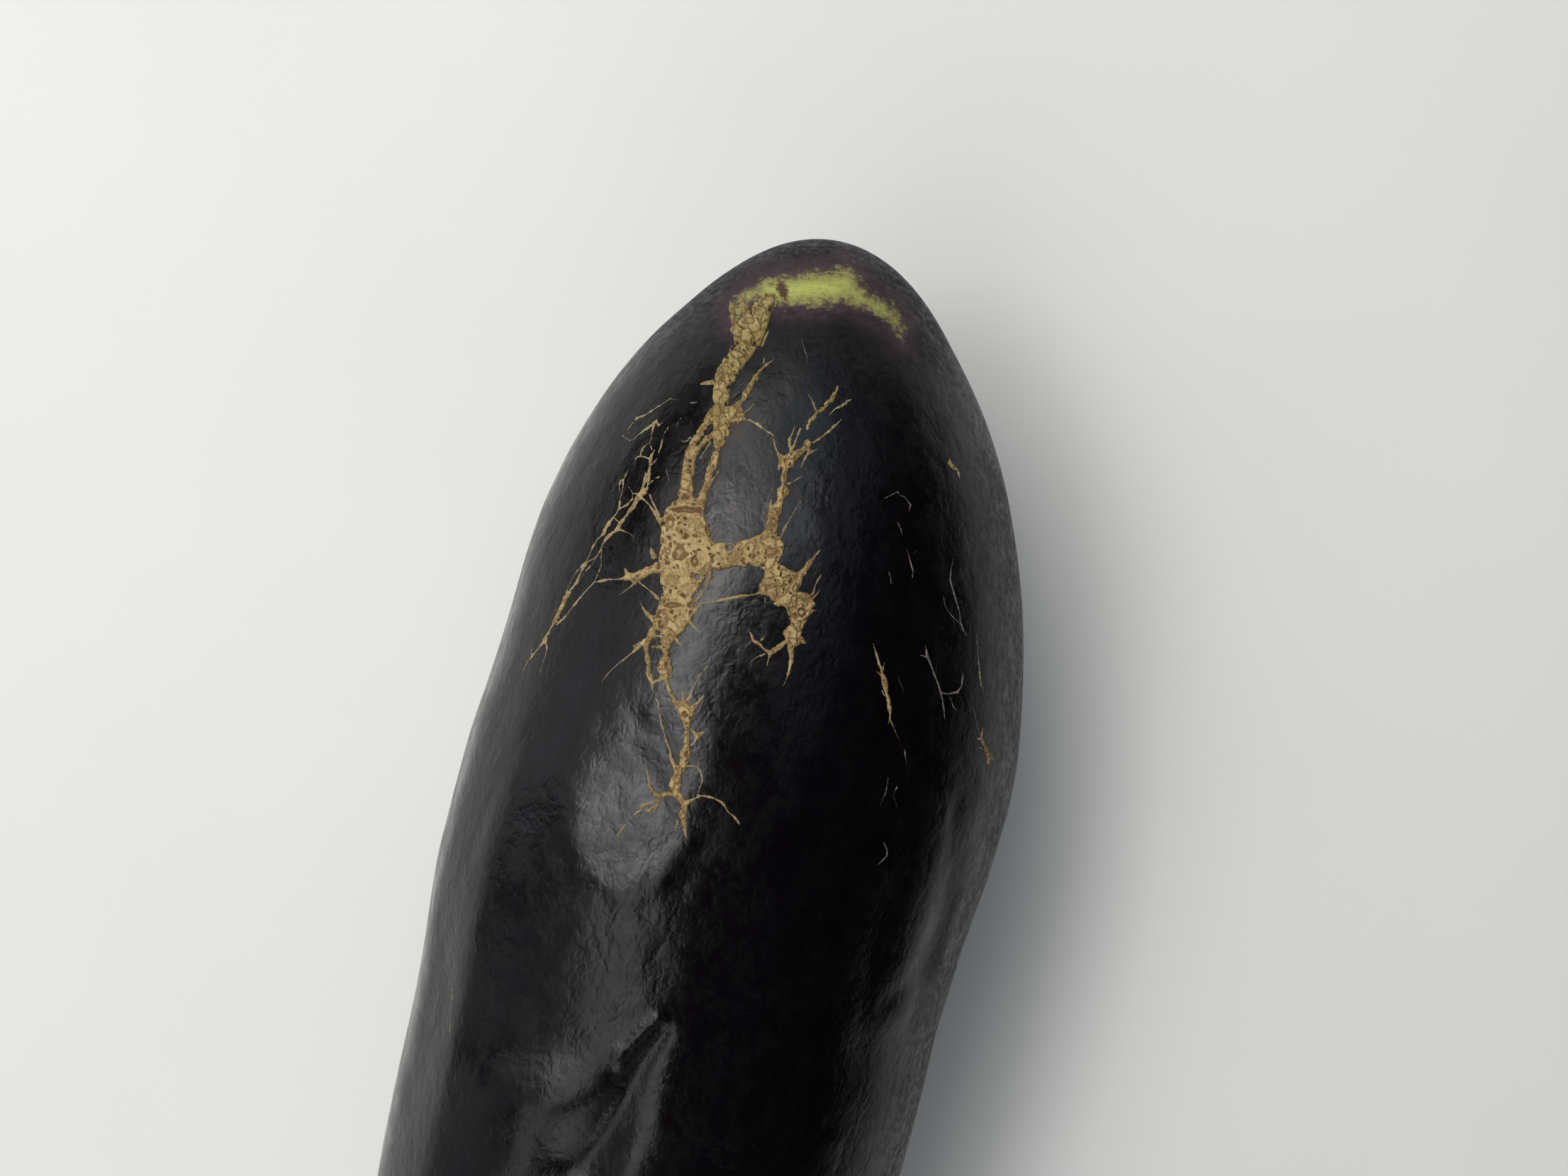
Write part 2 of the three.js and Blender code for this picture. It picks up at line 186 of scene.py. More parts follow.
# The wide middle, the bar that leaves it to the right and what hangs under the bar
MIDDLE = (
    ((-18.2, 38.5, 1.8), (-18.9, 39.5, 2.6), (-18.8, 41, 3.2), (-18.5, 43, 3.6), (-18.8, 45, 3.4),
     (-18.8, 47, 3.4), (-19.2, 48.5, 2.9), (-19.5, 50, 2.2), (-19.7, 51.5, 2.4), (-20, 53, 2.6),
     (-20.8, 54.5, 2.4), (-21.2, 55.4, 2.1)),
    ((-15.5, 44.9, 2), (-14, 45.2, 2), (-12.5, 45, 1.75), (-11, 44.8, 1.8), (-9.5, 44.7, 2),
     (-8, 44.4, 2.4), (-6.8, 43.6, 1.9)),
    ((-15, 47.5, 0.5), (-15.3, 48.6, 0.3), (-15.8, 49.7, 0.2), (-16.5, 50.7, 0.2), (-17, 51.2, 0.4)),
    ((-16.3, 48.2, 0.2), (-17.2, 49.2, 0.2)),
    ((-8, 50.3, 0.3), (-9.5, 50.6, 0.25), (-11, 50.7, 0.25), (-12.5, 51.1, 0.2), (-14, 51.4, 0.2),
     (-15.3, 51.6, 0.2), (-16.2, 51.8, 0.2), (-16.9, 52.4, 0.25), (-17.4, 53, 0.2)),
    ((-7.5, 51, 0.2), (-7.4, 52, 0.1), (-7.7, 52.9, 0.05)),
    ((-6, 51, 0.25), (-5.9, 51.8, 0.1)),
    ((-18.3, 54.3, 0.4), (-17.5, 54.9, 0.15), (-16.8, 55.6, 0.12), (-16.4, 56, 0.06)),
)
# The right strand, up and down from the bar, with its arms
RIGHT = (
    ((-6.6, 43.5, 1.8), (-6.6, 42, 1.3), (-6.4, 40.8, 0.95), (-6.1, 39.5, 0.85), (-5.7, 38.3, 0.7),
     (-5.3, 37.3, 0.5), (-4.95, 36, 0.95), (-4.9, 35, 0.5), (-4.8, 34, 0.5), (-4.7, 32.8, 0.55),
     (-4.2, 31.6, 1.1), (-3.6, 31, 0.8), (-2.6, 30.5, 0.5), (-1.9, 29.9, 0.35), (-1.3, 29.3, 0.6),
     (-0.5, 29, 0.25), (0.2, 28.5, 0.35), (1.2, 27.8, 0.2), (2.3, 26.8, 0.15), (3.3, 25.8, 0.1)),
    ((-6.6, 44.8, 1.6), (-6.8, 46.2, 1.2), (-6.2, 47.4, 1.4), (-5.6, 48.6, 2.2), (-5.2, 49.8, 2.3),
     (-4.5, 50.8, 1.4), (-3.4, 51.6, 1.3), (-2.9, 52.6, 1.5), (-2.8, 53.6, 1.4), (-2.8, 54.5, 1.1),
     (-3.3, 55.2, 0.8), (-3.6, 56.2, 1.35), (-3.4, 57, 1), (-3.8, 57.8, 0.5), (-3.8, 59, 0.35),
     (-3.8, 60.2, 0.3), (-4.1, 61.3, 0.2), (-4.6, 62.7, 0.12), (-5, 63.5, 0.06)),
    ((-7, 49.3, 1.3), (-4, 48.8, 1.6)),
    ((-4, 48.2, 1), (-2.9, 48.2, 0.9), (-2.3, 47.7, 0.6), (-1.5, 46.6, 0.35), (-0.9, 45.7, 0.35),
     (-0.4, 45, 0.25), (0.3, 44.3, 0.08)),
    ((-2.3, 50.9, 0.8), (-1.3, 50.9, 0.5), (-0.7, 50.4, 0.35), (-0.5, 49.5, 0.2), (-0.1, 48.6, 0.1),
     (0.5, 47.6, 0.06)),
    ((-0.9, 51.2, 0.4), (-0.2, 50.5, 0.2), (0.3, 49.7, 0.08)),
    ((-1.4, 52.3, 0.6), (-0.6, 51.8, 0.3)),
    ((-1.5, 53.2, 0.4), (-0.8, 52.8, 0.15), (0, 52.7, 0.06)),
    ((-2.6, 56.8, 0.5), (-2.1, 57.2, 0.25), (-1.6, 57.4, 0.1)),
    ((-10.5, 25.8, 0.2), (-9.5, 26, 0.2), (-8.6, 26.5, 0.2), (-7.5, 27.3, 0.1), (-6.4, 28, 0.12),
     (-6.1, 29.5, 0.15), (-5.8, 30.3, 0.2), (-5.3, 31, 0.35)),
    ((-5.2, 31.5, 0.4), (-5.5, 32.8, 0.3)),
    ((-1.3, 29.8, 0.2), (-1.2, 30.4, 0.25), (0, 30, 0.1)),
    ((-1.4, 30.6, 0.15), (-2, 31.7, 0.15), (-2.6, 32.9, 0.1)),
    ((-3.9, 30.4, 0.3), (-4, 29.5, 0.25), (-4, 28.5, 0.25), (-3.6, 27.7, 0.25), (-3.3, 26.7, 0.12)),
    ((-3.7, 30, 0.3), (-3.2, 29, 0.25), (-2.9, 28, 0.2), (-2.5, 27.2, 0.1)),
    ((-1.5, 27.1, 0.15), (-1.1, 26.2, 0.3), (-0.6, 25.4, 0.35), (0, 24.7, 0.35), (1, 24, 0.3),
     (1.8, 23.2, 0.25), (2.4, 22, 0.2), (2.8, 21, 0.1)),
    ((-0.3, 24.5, 0.3), (-0.6, 23.8, 0.3), (-1, 22.9, 0.12), (-1.6, 22, 0.08)),
    ((1.7, 25.1, 0.15), (2.3, 24.4, 0.2), (3.3, 24, 0.15), (4.1, 23.3, 0.15), (4.8, 22.9, 0.1)),
    ((-4.2, 34.9, 0.15), (-3.2, 34.4, 0.15), (-2.2, 33.8, 0.08)),
    ((-6.8, 39.5, 0.3), (-6.6, 37.1, 0.1)),
    ((-5.6, 43.3, 0.2), (-5, 41.8, 0.25), (-4.4, 40.6, 0.15), (-3.6, 39.2, 0.12), (-2.4, 37.3, 0.08)),
    ((-4.8, 57.3, 0.3), (-5.6, 57.9, 0.45), (-6.3, 58.4, 0.35), (-6.7, 58.7, 0.25)),
    ((-6.7, 58.7, 0.2), (-7, 59.6, 0.18), (-7.2, 60.5, 0.2)),
    ((-6.8, 58.7, 0.2), (-7.6, 58.2, 0.15), (-8.3, 57.5, 0.25), (-9.1, 57, 0.25), (-9.5, 56, 0.15),
     (-10, 55.3, 0.08)),
    ((-7.5, 58.9, 0.12), (-8.6, 59.3, 0.12), (-9.4, 59.9, 0.1), (-10.3, 61.2, 0.06)),
    ((-9.2, 57, 0.1), (-9.9, 56.9, 0.08)),
    ((-8.1, 57, 0.08), (-7.2, 56.3, 0.06)),
)
# The arms to the left of the wide middle
LEFT_ARMS = (
    ((-22.5, 46.8, 0.8), (-23.5, 47.2, 0.5), (-24.5, 47.8, 0.4), (-25.6, 48.4, 0.6), (-26.3, 48, 0.45),
     (-27, 48.3, 0.3), (-28.2, 48.4, 0.15), (-29.5, 48.4, 0.12), (-30.5, 48.6, 0.15),
     (-31.6, 48.8, 0.12)),
    ((-26.8, 47.6, 0.25), (-27.1, 46.9, 0.08)),
    ((-24, 46.9, 0.25), (-25.5, 47.8, 0.25)),
    ((-25.7, 49, 0.25), (-26.6, 49.7, 0.15), (-28, 50.7, 0.08)),
    ((-25, 48.9, 0.12), (-24, 49.6, 0.12), (-23.2, 50.3, 0.1), (-22.5, 51, 0.2), (-22.2, 51.2, 0.2)),
    ((-23, 45.2, 0.4), (-23.3, 44.4, 0.2), (-23.5, 43.9, 0.08)),
    ((-21.9, 40.3, 0.5), (-22.5, 39.8, 0.25), (-23, 38.9, 0.15), (-23.7, 37.9, 0.12), (-24.7, 36.9, 0.1)),
    ((-22.3, 39.3, 0.15), (-22.8, 38.3, 0.15), (-23.3, 37.3, 0.12), (-23.6, 36.5, 0.12)),
    ((-22.8, 54, 0.5), (-23.5, 53.6, 0.25), (-24.3, 52.8, 0.15), (-24.7, 52.1, 0.12), (-25.2, 51, 0.06)),
)
# The two strands below the middle, which meet at the foot, and the foot's arms
LOWER = (
    ((-23.2, 55.8, 0.7), (-23.6, 56.8, 0.45), (-24, 57.5, 0.4), (-24, 58.5, 0.35), (-23.7, 59.5, 0.4),
     (-23.7, 60.7, 0.35), (-23.6, 61.7, 0.4), (-23.4, 62.4, 0.35), (-23.1, 63.1, 0.18),
     (-23.2, 64, 0.12), (-22.8, 65, 0.08), (-22.4, 65.8, 0.13), (-22.3, 67, 0.13), (-22.1, 68.5, 0.15),
     (-21.8, 70, 0.15), (-21.4, 71.3, 0.15), (-21, 72.6, 0.2), (-20.8, 73.4, 0.25), (-20.6, 74.2, 0.25),
     (-20.1, 75, 0.4)),
    ((-23, 57.9, 0.25), (-22.2, 57.9, 0.25)),
    ((-22.8, 62.8, 0.2), (-22.1, 62.5, 0.25), (-21.7, 62.2, 0.2)),
    ((-24.2, 57.2, 0.4), (-24.9, 57.7, 0.25), (-25.8, 58.6, 0.2), (-27, 59.6, 0.15),
     (-28.3, 60.6, 0.15), (-29.3, 61.6, 0.15), (-30, 62.5, 0.1), (-30.6, 63.4, 0.06)),
    ((-24.8, 57.2, 0.15), (-25.9, 57.9, 0.08)),
    ((-20.8, 56, 1.1), (-21.1, 57.2, 0.8), (-21.3, 58.2, 0.65), (-21.2, 59.1, 0.45), (-21.3, 60, 0.8),
     (-21.3, 60.9, 1.1), (-21, 61.9, 0.7), (-21.1, 62.7, 0.4), (-20.9, 63.6, 0.35), (-20.5, 64.8, 0.35),
     (-20, 65.7, 0.4), (-19, 66.3, 1), (-18.5, 67.2, 1.2), (-18.4, 68.2, 0.75), (-18.3, 69.3, 0.55),
     (-18.4, 70.5, 0.4), (-18.6, 71.7, 0.45), (-18.7, 72.8, 0.75), (-18.9, 73.8, 0.85),
     (-19.1, 74.8, 0.7), (-19.6, 75.6, 0.6), (-20, 76.6, 0.75), (-20.2, 77.5, 0.9), (-20.1, 78.4, 0.55),
     (-19.6, 79.1, 0.45), (-18.9, 80, 0.4), (-18.9, 80.7, 0.45), (-19.1, 81.6, 0.65),
     (-18.9, 82.5, 0.45), (-18.8, 83.3, 0.2), (-18.7, 84.3, 0.15), (-18.4, 85.1, 0.06)),
    ((-19.6, 57, 0.3), (-19.1, 57.7, 0.15), (-18.8, 58.5, 0.06)),
    ((-18.8, 65.4, 0.25), (-19, 64, 0.1)),
    ((-18.1, 65.4, 0.3), (-17.8, 64.6, 0.25), (-17.3, 63.3, 0.12), (-16.4, 61.7, 0.12),
     (-15.4, 60.6, 0.06)),
    ((-17.5, 66.4, 0.35), (-17, 65.9, 0.2), (-16.4, 65.2, 0.2), (-16, 64.8, 0.1)),
    ((-17.8, 69.6, 0.25), (-17.2, 70.3, 0.25), (-16.7, 70.4, 0.3), (-16, 69.8, 0.12),
     (-15.6, 69.3, 0.06)),
    ((-16.9, 70.6, 0.25), (-17.4, 71.3, 0.2), (-17.9, 71.8, 0.1)),
    ((-20.5, 78.6, 0.4), (-21.3, 78.6, 0.35), (-22.1, 78.9, 0.35), (-22.7, 79.1, 0.4),
     (-23.2, 78.6, 0.3), (-23.7, 78, 0.3), (-24, 77.6, 0.25), (-24.1, 76.7, 0.1), (-24.4, 75.3, 0.12),
     (-24.8, 74, 0.08), (-25.4, 72.6, 0.05)),
    ((-22.8, 79.4, 0.3), (-22.7, 80.1, 0.25), (-23.2, 80.7, 0.25), (-23.9, 81, 0.25), (-24.4, 81, 0.15)),
    ((-23.4, 79.8, 0.2), (-24.2, 80.1, 0.2), (-24.9, 80.3, 0.2), (-25.1, 80.9, 0.12), (-26, 81.5, 0.1),
     (-27, 82.4, 0.08), (-28, 84, 0.06), (-28.8, 85, 0.05)),
    ((-18.6, 80, 0.35), (-18, 79.6, 0.2), (-17.2, 79.2, 0.2), (-16.6, 78.9, 0.2), (-15.6, 79, 0.2),
     (-14.6, 79.3, 0.2), (-13.8, 79.7, 0.2), (-13.2, 80.3, 0.2), (-12.7, 81.2, 0.15), (-12, 81.8, 0.15),
     (-11.4, 82.4, 0.12), (-10.9, 83.2, 0.06)),
    ((-18.8, 74.8, 0.4), (-17.8, 74.6, 0.15), (-17, 74.8, 0.15), (-16.6, 75.5, 0.15),
     (-16.3, 76.4, 0.15), (-16.5, 77.3, 0.1), (-16.9, 78.2, 0.12), (-17, 79, 0.15)),
    ((-16.9, 74.6, 0.15), (-16.8, 73.8, 0.08)),
    ((-19.8, 82.5, 0.2), (-20, 83.2, 0.1), (-20.4, 84.3, 0.1), (-20.9, 85.2, 0.05)),
)
# The thin net on the left flank
LEFT_NET = (
    ((-19.8, 23.1, 0.08), (-20.8, 22.9, 0.12), (-21.9, 23.6, 0.12), (-23.2, 24.4, 0.12),
     (-24.5, 25.2, 0.12), (-25.6, 25.6, 0.12), (-26.3, 26.4, 0.1), (-26.9, 27.3, 0.1),
     (-26.8, 27.9, 0.1)),
    ((-27.6, 28.1, 0.08), (-27, 28.5, 0.12), (-26.6, 28.8, 0.1), (-26, 28.6, 0.12), (-25.4, 28, 0.12),
     (-24.4, 27.3, 0.12), (-23.4, 26.6, 0.12), (-22.8, 26.1, 0.12), (-22.3, 25.4, 0.06)),
    ((-22.8, 26.1, 0.1), (-22.4, 26.7, 0.08), (-21.6, 26, 0.08), (-21, 25.2, 0.06)),
    ((-23, 26.2, 0.1), (-23.4, 27.3, 0.1), (-23.5, 28.5, 0.1), (-23.7, 29.1, 0.1), (-23.4, 30.1, 0.1)),
    ((-23.7, 29.1, 0.1), (-24.5, 29.6, 0.1), (-24.9, 30.3, 0.1), (-25, 31, 0.12), (-25.6, 31.2, 0.1),
     (-25.8, 31.9, 0.06)),
    ((-25, 31, 0.12), (-24.3, 31.2, 0.12), (-23.8, 31.3, 0.12)),
    ((-22.9, 30.1, 0.1), (-23.3, 30.6, 0.15), (-23.6, 31.6, 0.2), (-23.7, 32.7, 0.2),
     (-23.8, 33.8, 0.2), (-23.9, 34.8, 0.15), (-24, 35.6, 0.2)),
    ((-24.4, 32.9, 0.06), (-24.3, 33.6, 0.18), (-24.4, 34.5, 0.2), (-24.6, 35.3, 0.2),
     (-24.6, 35.9, 0.25)),
    ((-23.5, 32.3, 0.12), (-22.9, 31.7, 0.1), (-22.6, 31.3, 0.08)),
    ((-23.8, 35, 0.1), (-22.9, 34.2, 0.08), (-22.3, 33.9, 0.06)),
    ((-21.1, 26.9, 0.06), (-21.8, 28.2, 0.1), (-22.1, 29.6, 0.1), (-22.6, 31, 0.08)),
    ((-24.4, 36, 0.45), (-25, 36.5, 0.35), (-25.5, 37.2, 0.3), (-25.9, 38, 0.25), (-26.6, 38.9, 0.25),
     (-27.3, 39.8, 0.22), (-27.9, 40.6, 0.25), (-28.1, 41.3, 0.25), (-29, 41.9, 0.2),
     (-29.9, 42.7, 0.2), (-30.4, 43.5, 0.2), (-30.6, 44.1, 0.2), (-31.1, 45, 0.15), (-31.5, 45.4, 0.15),
     (-32.5, 45.9, 0.15), (-33.1, 46.6, 0.15), (-33.6, 47.6, 0.15), (-34.1, 48.8, 0.2),
     (-34.8, 49.7, 0.2), (-35.3, 50.5, 0.25), (-35.6, 51, 0.4), (-35.8, 51.7, 0.35), (-36.3, 52.6, 0.3),
     (-36.7, 53.5, 0.3), (-37.2, 54.4, 0.3), (-37.5, 54.9, 0.25), (-37.9, 55.6, 0.2),
     (-38.3, 56.4, 0.2), (-38.6, 57.2, 0.22), (-39.2, 57.8, 0.15), (-39.8, 58.5, 0.15),
     (-40.5, 59.4, 0.18), (-41, 59.9, 0.15), (-41.4, 60.7, 0.1), (-41.8, 61.6, 0.08)),
    ((-24.8, 36.3, 0.12), (-26.1, 36.3, 0.1), (-26.5, 35.6, 0.1), (-26.8, 35.2, 0.08)),
    ((-26.1, 36.3, 0.1), (-26.1, 37, 0.12), (-26.6, 37.6, 0.12), (-26.9, 37.9, 0.15),
     (-27.4, 38.1, 0.1), (-28, 38.6, 0.1)),
    ((-26.8, 32.9, 0.06), (-27.2, 33.8, 0.1), (-27.5, 34.4, 0.1), (-27.5, 35.2, 0.1), (-27.6, 36, 0.1),
     (-27.9, 37, 0.12), (-28, 38.2, 0.12), (-28.4, 39.1, 0.15), (-28.8, 39.6, 0.15), (-29.5, 40.5, 0.2),
     (-30, 41.2, 0.2), (-30.2, 41.9, 0.2), (-31.2, 42.8, 0.1), (-31.8, 43.8, 0.1), (-32.2, 44.8, 0.12),
     (-32.6, 45.7, 0.12), (-33.1, 46.2, 0.1), (-34, 47.2, 0.1), (-34.8, 48.4, 0.1), (-35.3, 49.6, 0.1),
     (-35.6, 50.4, 0.12)),
    ((-27.5, 34.3, 0.08), (-27.9, 34.4, 0.1), (-28.1, 35.3, 0.12), (-27.9, 35.9, 0.1)),
    ((-28.2, 35.5, 0.08), (-29, 35.9, 0.06), (-29.6, 36.5, 0.05)),
    ((-28.7, 39.7, 0.12), (-28.3, 40.1, 0.12), (-27.9, 40.3, 0.12)),
    ((-28.1, 41.3, 0.2), (-27.2, 41.6, 0.12), (-26.5, 41.9, 0.12), (-25.9, 42.4, 0.08)),
    ((-30.5, 44.2, 0.12), (-30.6, 45.3, 0.1), (-30.5, 46.4, 0.12), (-30.9, 47.4, 0.1),
     (-31.3, 48.4, 0.1), (-31.6, 48.9, 0.15), (-32.3, 49.6, 0.18), (-33, 50.3, 0.15), (-34, 51.5, 0.15),
     (-35, 52.8, 0.12), (-35.9, 53.9, 0.12), (-36.9, 54.8, 0.15)),
    ((-31.4, 45.5, 0.1), (-31.9, 46.3, 0.08), (-33, 47.5, 0.08), (-34, 49, 0.08)),
    ((-40.3, 57.8, 0.06), (-40.5, 58.5, 0.1), (-40.4, 59.2, 0.12)),
    ((-38.4, 57.4, 0.1), (-38.2, 58, 0.1), (-38.5, 59.2, 0.1), (-38.9, 60.5, 0.08), (-39.2, 61.8, 0.06)),
    ((-36.6, 52.4, 0.06), (-37.2, 52.9, 0.06), (-37.7, 53.6, 0.05)),
)
# The pale cracks, lying almost flat in the skin
PALE_CRACKS = (
    ((9.4, 85.6, 0.08), (9.9, 86.6, 0.14), (9.9, 87.4, 0.14), (9.2, 88.1, 0.12), (8.5, 88.7, 0.08)),
    ((-53.6, 101.8, 0.06), (-52.4, 103.6, 0.08), (-51.4, 106, 0.06), (-51.5, 110, 0.07),
     (-51.6, 114.5, 0.05)),
    ((-48.4, 97.5, 0.05), (-47.8, 101, 0.06)),
    ((9.5, 36.9, 0.05), (11.3, 36, 0.08), (11.5, 36.5, 0.08), (12.2, 36.7, 0.09), (13.1, 37.8, 0.08),
     (12.9, 38.9, 0.06)),
    ((11.3, 40.3, 0.05), (11.8, 41.4, 0.07), (11.9, 42.1, 0.05)),
    ((12.6, 44.1, 0.05), (13, 45.5, 0.09), (13.5, 47.2, 0.11), (13.4, 48.2, 0.11)),
    ((13.9, 44.3, 0.06), (13.6, 44.8, 0.05)),
    ((10, 47.2, 0.06), (10.3, 48.3, 0.09), (10.4, 49, 0.06)),
    ((19.1, 45.4, 0.05), (18.8, 47, 0.09), (18.7, 48.5, 0.12), (19.1, 50, 0.1), (19.6, 51.7, 0.08),
     (20, 53, 0.09), (20.1, 54.3, 0.12), (20.5, 55.5, 0.15), (21, 56.3, 0.1)),
    ((17.7, 50.6, 0.05), (18, 52.2, 0.08), (18.9, 53.5, 0.08), (20, 54.6, 0.1)),
    ((15.2, 57.7, 0.06), (15.5, 59.2, 0.16), (16.1, 60.7, 0.15), (17, 63, 0.15), (17.4, 64.2, 0.18),
     (17.7, 65.5, 0.12), (17.9, 67, 0.1), (18, 68.2, 0.06)),
    ((14.6, 59.1, 0.06), (15.5, 59.4, 0.1)),
    ((17.5, 64.4, 0.15), (18.4, 64.6, 0.12), (19.7, 64.3, 0.22), (20.3, 63.4, 0.12), (20.4, 62.4, 0.09),
     (20.5, 61.6, 0.05)),
    ((18.7, 65, 0.06), (19.2, 66.4, 0.06), (19.8, 67.1, 0.06)),
    ((22.3, 56.2, 0.06), (22.4, 58, 0.07), (22.6, 60.5, 0.12), (22.9, 63.4, 0.13), (23.2, 63.9, 0.06)),
    ((21.8, 66.2, 0.05), (22.2, 68.5, 0.07), (22.8, 70.5, 0.07)),
    ((11.4, 62.2, 0.05), (11.9, 63.5, 0.07), (12.2, 64.4, 0.06)),
    ((12.3, 72, 0.05), (12.4, 73.2, 0.1), (12.6, 74.5, 0.05)),
    ((10, 76.4, 0.08), (9.7, 78.4, 0.08), (8.9, 80.2, 0.06)),
    ((11.3, 77.6, 0.06), (10.7, 78.9, 0.06), (11.3, 80.5, 0.05)),
    ((-2.6, 13.5, 0.06), (-2.2, 15, 0.08), (-1.8, 16.3, 0.15), (-1.5, 17.3, 0.12), (-1.8, 18.2, 0.06)),
    ((-19.3, 25.7, 0.06), (-19.8, 26.5, 0.08), (-19.9, 27.2, 0.05)),
    ((-21.2, 32.2, 0.06), (-21.3, 33.2, 0.08), (-20.9, 34.5, 0.06)),
    ((-17, 23.4, 0.12), (-18, 23.5, 0.12)),
    ((-19.3, 28.7, 0.06), (-18.9, 29, 0.08), (-18.3, 28.8, 0.1), (-18, 28.3, 0.1), (-17.6, 28.8, 0.1)),
)
# Short tan cracks on the right flank
FLANK_CRACKS = (
    ((18.5, 31.4, 0.1), (18.7, 32, 0.28), (19.1, 32.6, 0.22), (19.7, 33.1, 0.14), (20, 34, 0.08)),
    ((7.8, 57.4, 0.06), (8.3, 59, 0.14), (8.8, 60.6, 0.22), (9.3, 62, 0.3), (9.5, 63, 0.38),
     (9.8, 64.5, 0.22), (10, 65.4, 0.38), (10.2, 67, 0.26), (10.3, 68.2, 0.2), (10.9, 69.6, 0.1),
     (11.5, 71, 0.07), (12, 72, 0.05)),
    ((8.4, 61.4, 0.12), (9, 62, 0.15)),
    ((9.4, 60.1, 0.08), (9.3, 61.2, 0.12)),
    ((9, 64, 0.08), (9.5, 64.8, 0.12)),
    ((10.2, 68.2, 0.12), (10, 68.8, 0.08)),
    ((22.3, 70.8, 0.1), (23, 71, 0.28), (23.3, 71.8, 0.15), (23.7, 72.6, 0.38), (24, 73.4, 0.2),
     (23.8, 74.3, 0.14)),
    ((22.5, 72, 0.08), (23.3, 72.4, 0.15)),
    ((24.2, 73.4, 0.15), (24.5, 73.8, 0.1)),
    ((23, 69.3, 0.06), (23, 70.6, 0.14)),
)

CORK_STRANDS = TRUNK + FORK + MIDDLE + RIGHT + LEFT_ARMS + LOWER + LEFT_NET + FLANK_CRACKS
# Step of the grid, height and raggedness, for the cork and for the thin cracks
CORK_GRID = 0.085
CORK_RISE = 0.42
CORK_RAGGED = 0.3
CRACK_GRID = 0.07
CRACK_RISE = 0.1
CRACK_RAGGED = 0.12
CRACK_WINDOW = (-57, 31, 5, 124)
TISSUE_ROOT = 0.35  # depth of the tissue's underside in the skin
CORK_EDGE = 0.03  # height of the cork at its edge
CRACK_EDGE = 0.02
GRID_MARGIN = 1  # of a field's grid round its windows
WINDOW_MARGIN = 0.3  # of the part of the grid that one window takes
NEAREST_CROSSING = 0.02  # of an outline to a grid point, as a share of the grid's step

# Strands: the lowest depth outside them, how far out from a strand its depth is worked out, and the
# fillet where two meet, a share of a strand's mean half width kept between two limits
OUTSIDE = -9.0
STRAND_REACH = 1.2
FILLET_SHARE = 1.1
FILLET_LIMITS = (0.1, 0.45)
# Their rough edge: lumps as (size, share, field name), and nicks along the zero lines of another noise
EDGE_LUMPS = ((1.9, 0.9, "edge lumps"), (0.95, 1, "edge knobs"), (0.4, 0.8, "edge crumbs"))
NICK_SIZE, NICK_WIDTH, NICK_SHARE = 0.7, 0.25, 0.8
# The room for both is how deep inside the strand a place is, plus a rim, kept between two limits
ROOM_RIM = 0.35
ROOM_LIMITS = (0.08, 0.9)
# Two parts of the trace by how far down they lie, from no effect to full, and how much more ragged
# each is
UPPER_SCAR = (32, 24)
TRUNK_HEAD = (17, 9)
UPPER_RAGGED = 0.9
HEAD_RAGGED = 0.5
# Strands by half width, from no effect to full, and how much each kind is narrowed or widened
FINE_STRANDS = (0.3, 0.1)
FINE_NARROWED = 0.05
BROAD_STRANDS = (0.4, 0.9)
UPPER_WIDENED = 0.16
# Nearer to its middle line than this share of its half width, a strand keeps at least a thread
HELD_CORE = 0.5
HELD_THREAD = 0.04

# Relief of the cork. Its lumps lie in cells of a size, bent by noises given as (amount, size), with
# grooves between them, from no effect to full by the distance to the cell's edge
LUMP_CELLS = 1.5
CORK_BEND = (0.28, 0.5)
CORK_WANDER = (0.5, 1.3)
CELL_SCATTER = 0.42  # of a cell's point from its middle, in cells
GROOVE_WIDTH = (0.42, 0.02)
GROOVE_DEPTH = 0.85
GROOVE_PIT = 0.8
# The wide middle has shallower grooves, and the cork towards the blossom end deeper ones
HEART = (-17, 47, 8, 9)  # right, down, half width, half height
HEART_GROOVES_LESS = 0.55
UPPER_CORK = (36, 14)
UPPER_GROOVES_MORE = 0.25
UPPER_PITS_LESS = 0.45
# Pits of the cork, as (size of the cells they lie in, widest radius, chance limit, field name)
CORK_PITS = (
    (1.25, 0.45, 0.25, "large pits"),
    (0.7, 0.28, -0.1, "small pits"),
)
PIT_SQUASH = 0.8
# A pit's wall and the two sides of its rim, in radii, from no effect to full
PIT_WALL = (1.2, 0.5)
PIT_RIM_OUTER = (1.9, 1.3)
PIT_RIM_INNER = (0.9, 1.15)
LEAST_RIMMED = 0.1  # the least radius of a pit that has a rim
LEAST_RADIUS = 1e-3
# Thin ridges along the zero lines of a noise
RIDGE_SIZES = (0.6, 0.5)
RIDGE_WIDTH = (0.3, 0.05)
RIDGE_SHARE = 0.8
GRAIN_SIZE = 0.22
# A crater has a bowl round a knob, and a rim, in its own radii from no effect to full
CRATER_RAGGED = (0.3, 0.5)
CRATER_BOWL = (1.0, 0.8)
CRATER_KNOB = (0.5, 0.15)
KNOB_SHARE = 0.8
CRATER_CLEARS = (0.9, 1.15)
CRATER_RIM_OUTER = (1.45, 1.2)
CRATER_RIM_INNER = (0.95, 1.1)
